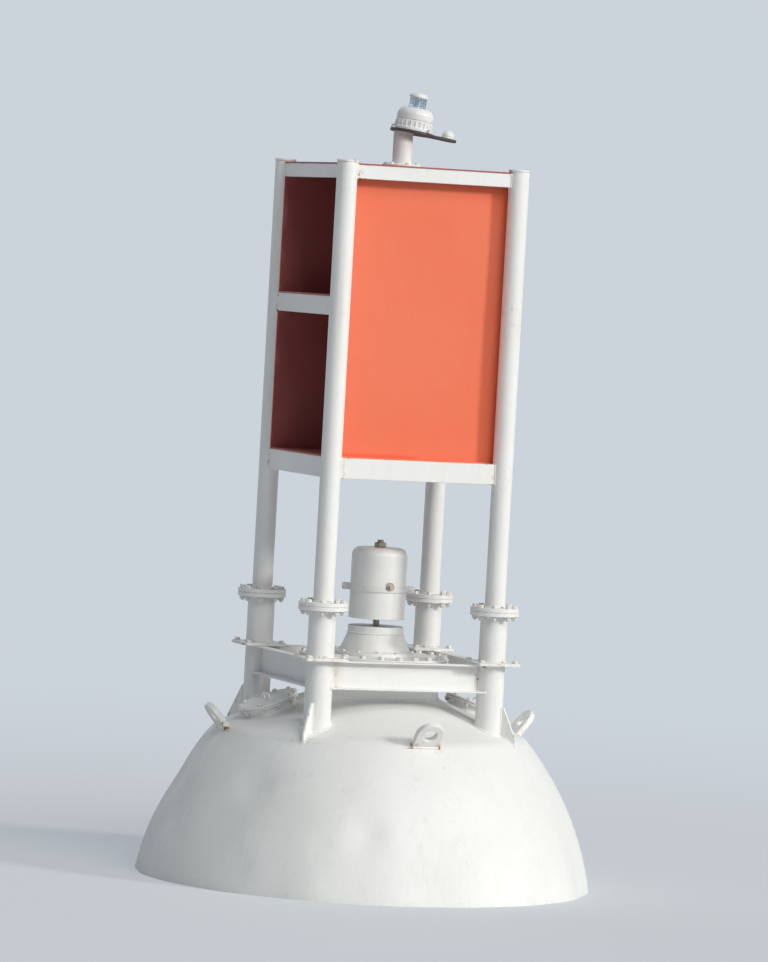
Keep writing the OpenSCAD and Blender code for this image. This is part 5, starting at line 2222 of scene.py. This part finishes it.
@dataclass
class Mooring:
    """The two mooring eyes and the shackles that swing in them."""

    form: HullForm
    eye_thick: float = 0.050
    eye_radius: float = 0.075  # the eye's radius round the bore
    bore: float = 0.026  # the bore's radius
    place: float = 1.080  # the distance of the bores from the axis
    drop: float = 0.150  # the drop of the bore below the hull
    pin_radius: float = 0.023
    pin_drop: float = 0.0027  # how far the pin hangs below the bore's centre
    jaw_half: float = 0.031  # half the width between the shackle's ears
    bar_radius: float = 0.020  # the radius of the shackle's bar
    ear_radius: float = 0.046
    inside: float = 0.176  # the distance from the pin's axis to the inside of the bow
    head_thick: float = 0.022  # the thickness of the pin's head and nut
    rust: float = 0.25  # what a shackle rusts more than the rest

    def eye(self, surface: float) -> Shape:
        """Gives the eye at +X, cut to its rim by straight lines above the bore.

        Below the bore's centre the rim is the eye's radius away. Above, each line is given by its
        outward direction and its distance, and a ray at the angle b to that direction meets it at
        distance / cos b.

        Args:
            surface: the height of the hull's bottom at the eye's place.

        Returns:
            The eye.
        """
        angle = np.linspace(0.0, FULL_TURN, 96, endpoint=False)
        ray = np.stack([np.cos(angle), np.sin(angle)], axis=1)
        r, far = self.eye_radius, 9.0
        slant = np.array([-2.0 * r, self.drop - r])
        normal = np.array([-slant[1], slant[0]]) / np.linalg.norm(slant)
        reach = np.full(len(angle), far)
        for facing, distance in ((ray[:, 0], r), (ray[:, 1], self.drop + 0.11),
                                 (ray @ normal, -r * normal[0]), (-ray[:, 0], 3.0 * r)):
            meets = distance / np.maximum(facing, NEAR_ZERO)
            reach = np.minimum(reach, np.where(facing > NEAR_ZERO, meets, far))
        reach = np.where(ray[:, 1] <= 0.0, r, reach)
        half = 0.5 * self.eye_thick
        body = drilled(ray * reach[:, None], ray * self.bore, -half, half)
        return body.moved(STANDING, (self.place, 0.0, surface - self.drop))

    def shackle(self) -> Shape:
        """Gives a shackle that hangs from its pin, the pin's axis along Y through the origin.

        The bow is a tube along two straights and a half circle.

        Returns:
            The shackle with its pin, head and nut.
        """
        bow, straight = self.jaw_half + self.bar_radius, self.inside - self.jaw_half
        flat = np.concatenate([line((-bow, 0.0), (-bow, -straight), 8)[:-1],
                               arc((0.0, -straight), bow, 180.0, 360.0, 32),
                               line((bow, -straight), (bow, 0.0), 8)[1:]])
        path = np.column_stack([np.zeros(len(flat)), flat])
        near, far = self.jaw_half, self.jaw_half + 2.0 * self.bar_radius
        head, tip = self.ear_radius - 0.5 * self.head_thick, far + self.head_thick
        ear = drum(self.ear_radius, near, far, 48, 0.006, 0.004)
        return join(tube(path, FORWARD, self.bar_radius, False, 20),
                    ear.moved(SIDEWAYS), ear.moved(-SIDEWAYS),
                    drum(head, far, tip, 32, 0.003, 0.003).moved(-SIDEWAYS),
                    drum(head, far, tip - 0.002, 6, 0.003, 0.002).moved(SIDEWAYS),
                    drum(self.pin_radius, -far, tip, 32, 0.002, 0.003).moved(SIDEWAYS))

    def build(self, yard: Yard) -> None:
        """Makes the eyes and the shackles.

        Args:
            yard: where pieces are made.
        """
        reach = self.form.radius - self.place
        surface = -self.form.chine_depth - reach * np.tan(np.radians(self.form.bottom_slope))
        shackle = self.shackle()
        shackle.rust = shackle.rust + self.rust
        for name, turn in TWINS:
            eye = self.eye(surface).moved(turned(turn))
            yard.piece(f"mooring_eye_{name}_plate", eye, Coat.BOTTOM, "bottom_paint", "mooring_eye_" + name)
            x = self.place if turn == 0.0 else -self.place
            hung = shackle.moved(place=(x, 0.0, surface - self.drop - self.pin_drop))
            yard.piece(f"shackle_{name}_bow", hung, Coat.STEEL, "shackle_steel", "shackle_" + name,
                       body="shackle_" + name)


# The studio


@dataclass(frozen=True)
class Lamp:
    """A far lamp with a soft edge."""

    name: str
    azimuth: float  # its direction, 0 in front of the buoy, in degrees
    elevation: float  # its height above level, in degrees
    strength: float
    width: float  # how wide it looks, in degrees


@dataclass
class Studio:
    """The floor at the waterline, the lights and the camera."""

    azimuth: float = -20.7  # the camera's direction, 0 looking along +Y, in degrees
    elevation: float = 2.3  # the camera's height above level, in degrees
    distance: float = 30.5  # the camera's distance in metres
    target_height: float = 2.14  # the height that the camera looks at
    frame_height: float = 5.15  # the height that the picture spans at the buoy
    roll: float = 3.2  # how far the picture is turned, in degrees
    background: Colour = (0.60, 0.65, 0.71)  # the background, and the floor far off
    floor: Colour = (0.76, 0.78, 0.80)  # the floor's own colour
    floor_radius: float = 60.0
    lamp_colour: Colour = (1.0, 0.97, 0.92)
    fill: Colour = (0.70, 0.84, 1.0)  # the colour of the light from all round
    fill_strength: float = 0.20
    lamps: tuple[Lamp, ...] = (
        Lamp("main_light", 45.0, 21.0, 1.65, 9.0), Lamp("front_light", 10.0, 40.0, 1.35, 40.0),
        Lamp("back_light", 205.0, 35.0, 0.25, 40.0))

    def direction(self, azimuth: float, elevation: float) -> Vector:
        """Gives the direction from the buoy towards a camera or a lamp."""
        a, e = np.radians(azimuth), np.radians(elevation)
        return Vector((np.sin(a) * np.cos(e), -np.cos(a) * np.cos(e), np.sin(e)))

    def camera(self) -> None:
        """Places the camera, and rolls it about its line of sight."""
        data = bpy.data.cameras.new("camera")
        data.lens = data.sensor_width * self.distance / self.frame_height
        data.clip_end = 400.0
        back = self.direction(self.azimuth, self.elevation)
        target = Vector((0.0, 0.0, self.target_height))
        made = placed("camera", data)
        made.matrix_world = (Matrix.Translation(target + back * self.distance)
                             @ back.to_track_quat("Z", "Y").to_matrix().to_4x4()
                             @ Matrix.Rotation(np.radians(self.roll), 4, "Z"))
        bpy.context.scene.camera = made

    def light(self, lamp: Lamp) -> None:
        """Adds a lamp to the scene.

        Args:
            lamp: the lamp.
        """
        data = bpy.data.lights.new(lamp.name, "SUN")
        data.energy, data.color = lamp.strength, self.lamp_colour
        data.angle = np.radians(lamp.width)
        toward = self.direction(lamp.azimuth, lamp.elevation)
        placed(lamp.name, data).matrix_world = toward.to_track_quat("Z", "Y").to_matrix().to_4x4()

    def world(self) -> None:
        """Lights the scene from all round, and shows the camera a plain background."""
        world = bpy.data.worlds.new("studio")
        tree = Tree.fresh(world)
        path = tree.add("ShaderNodeLightPath").outputs
        seen = tree.math("MAXIMUM", path["Is Camera Ray"], path["Is Transmission Ray"])
        seen = tree.math("MAXIMUM", seen, path["Is Glossy Ray"])
        light = tree.add("ShaderNodeBackground", {"Color": self.fill, "Strength": self.fill_strength})
        shown = tree.add("ShaderNodeBackground", {"Color": self.background, "Strength": 1.0})
        mixed = tree.add("ShaderNodeMixShader", {0: seen, 1: light.outputs[0], 2: shown.outputs[0]})
        tree.add("ShaderNodeOutputWorld", {"Surface": mixed.outputs[0]})
        bpy.context.scene.world = world

    def ground(self) -> None:
        """Lays the floor at the waterline, a disc that fades into the background far off.

        From below it can't be seen, so that the hull under the water shows.
        """
        rim = circle(self.floor_radius, 0.0, 96)
        number = np.arange(len(rim))
        faces = np.stack([np.zeros(len(rim), int), number + 1, np.roll(number, -1) + 1], axis=1)
        mesh = bpy.data.meshes.new("floor")
        mesh.from_pydata([(0.0, 0.0, 0.0), *rim.tolist()], [], faces.tolist())
        mesh.materials.append(self.ground_material())
        placed("floor", mesh)

    def ground_material(self) -> bpy.types.Material:
        """Gives the floor's material: matt near the buoy, the background's colour far off.

        Returns:
            The material.
        """
        made = bpy.data.materials.new("floor")
        tree = Tree.fresh(made)
        path = tree.add("ShaderNodeLightPath").outputs
        place = tree.add("ShaderNodeTexCoord").outputs["Object"]
        away = tree.add("ShaderNodeVectorMath", {0: place}, operation="LENGTH").outputs["Value"]
        far = tree.times(tree.between(away, 2.0, 13.0, 0.40, 1.0), path["Is Camera Ray"])
        matt = tree.add("ShaderNodeBsdfPrincipled", {"Base Color": self.floor, "Roughness": 0.85})
        glow = tree.add("ShaderNodeEmission", {"Color": self.background, "Strength": 1.0})
        seen = tree.add("ShaderNodeMixShader", {0: far, 1: matt.outputs[0], 2: glow.outputs[0]})
        backing = tree.add("ShaderNodeNewGeometry").outputs["Backfacing"]
        hidden = tree.math("MAXIMUM", backing, path["Is Shadow Ray"])
        clear = tree.add("ShaderNodeBsdfTransparent").outputs[0]
        both = tree.add("ShaderNodeMixShader", {0: hidden, 1: seen.outputs[0], 2: clear})
        tree.add("ShaderNodeOutputMaterial", {"Surface": both.outputs[0]})
        return made

    def build(self) -> None:
        """Makes the studio."""
        bpy.context.scene.view_settings.view_transform = "Standard"
        self.camera()
        self.world()
        self.ground()
        for lamp in self.lamps:
            self.light(lamp)


def rust_sources(form: HullForm, leg_half: float) -> Weather:
    """Notes where the buoy rusts: at its eyes, knees, flanges and bars, and here and there.

    Args:
        form: the hull's form.
        leg_half: half the distance between neighbouring legs.

    Returns:
        The weather.
    """
    eye = form.shoulder_centre[0] + 0.09  # how far out the lifting eyes' feet lie
    knee = 0.83  # how far out the knees' tips lie
    joints = (1.20, 1.49, 2.20, 3.05, 3.75)  # the heights of the flanges and bars
    spots = 14  # small spots here and there on the dome
    weather, rng = Weather(), np.random.default_rng(5)
    for side in Side:
        for x in (-0.075, 0.075):
            foot = np.array([x, -eye, form.height(eye)]) @ turned(side.value)
            weather.add(foot, rng.uniform(0.22, 0.42), 0.045, rng.uniform(0.18, 0.45))
    for x, y in CORNERS.values():
        tip = np.array([x, y]) / np.sqrt(2.0) * knee
        weather.add((*tip, form.height(knee)), rng.uniform(0.2, 0.4), 0.05, rng.uniform(0.15, 0.4))
        for height in joints:
            weather.add((x * leg_half, y * leg_half, height), rng.uniform(0.10, 0.3), 0.13, 0.12)
    for _ in range(spots):
        angle = rng.uniform(0.0, FULL_TURN)
        rise = rng.uniform(0.25, 0.70)
        radius = np.interp(rise, form.above[::-1, 1], form.above[::-1, 0])
        weather.add((radius * np.cos(angle), radius * np.sin(angle), rise), rng.uniform(0.15, 0.35),
                    rng.uniform(0.015, 0.035), rng.uniform(0.05, 0.25))
    return weather


def main() -> None:
    """Builds the buoy's sub-assemblies in order from the CAD sizes, then the studio, and logs how many pieces
    it made.
    """
    logging.basicConfig(level=logging.INFO, format="%(message)s")
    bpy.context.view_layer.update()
    hull_low, hull_high = box("hull")
    leg_low, leg_high = box("leg_front_right")
    leg_half = 0.5 * (leg_low[0] + leg_high[0])
    trunk_radius, trunk_foot, _ = extent("trunk")
    form = HullForm(np.abs([hull_low[:2], hull_high[:2]]).min(), hull_low[2], trunk_foot, trunk_radius)
    yard = Yard(rust_sources(form, leg_half))
    for part in (Hull(form), Trunk(), Whistle(), LowerFrame(form, leg_half), Tower(leg_half),
                 Daymark(leg_half), Lantern(), Fittings(form), Tail(form), Mooring(form)):
        part.build(yard)
    Studio().build()
    log.info("%d pieces", yard.count)


if __name__ == "__main__":
    main()
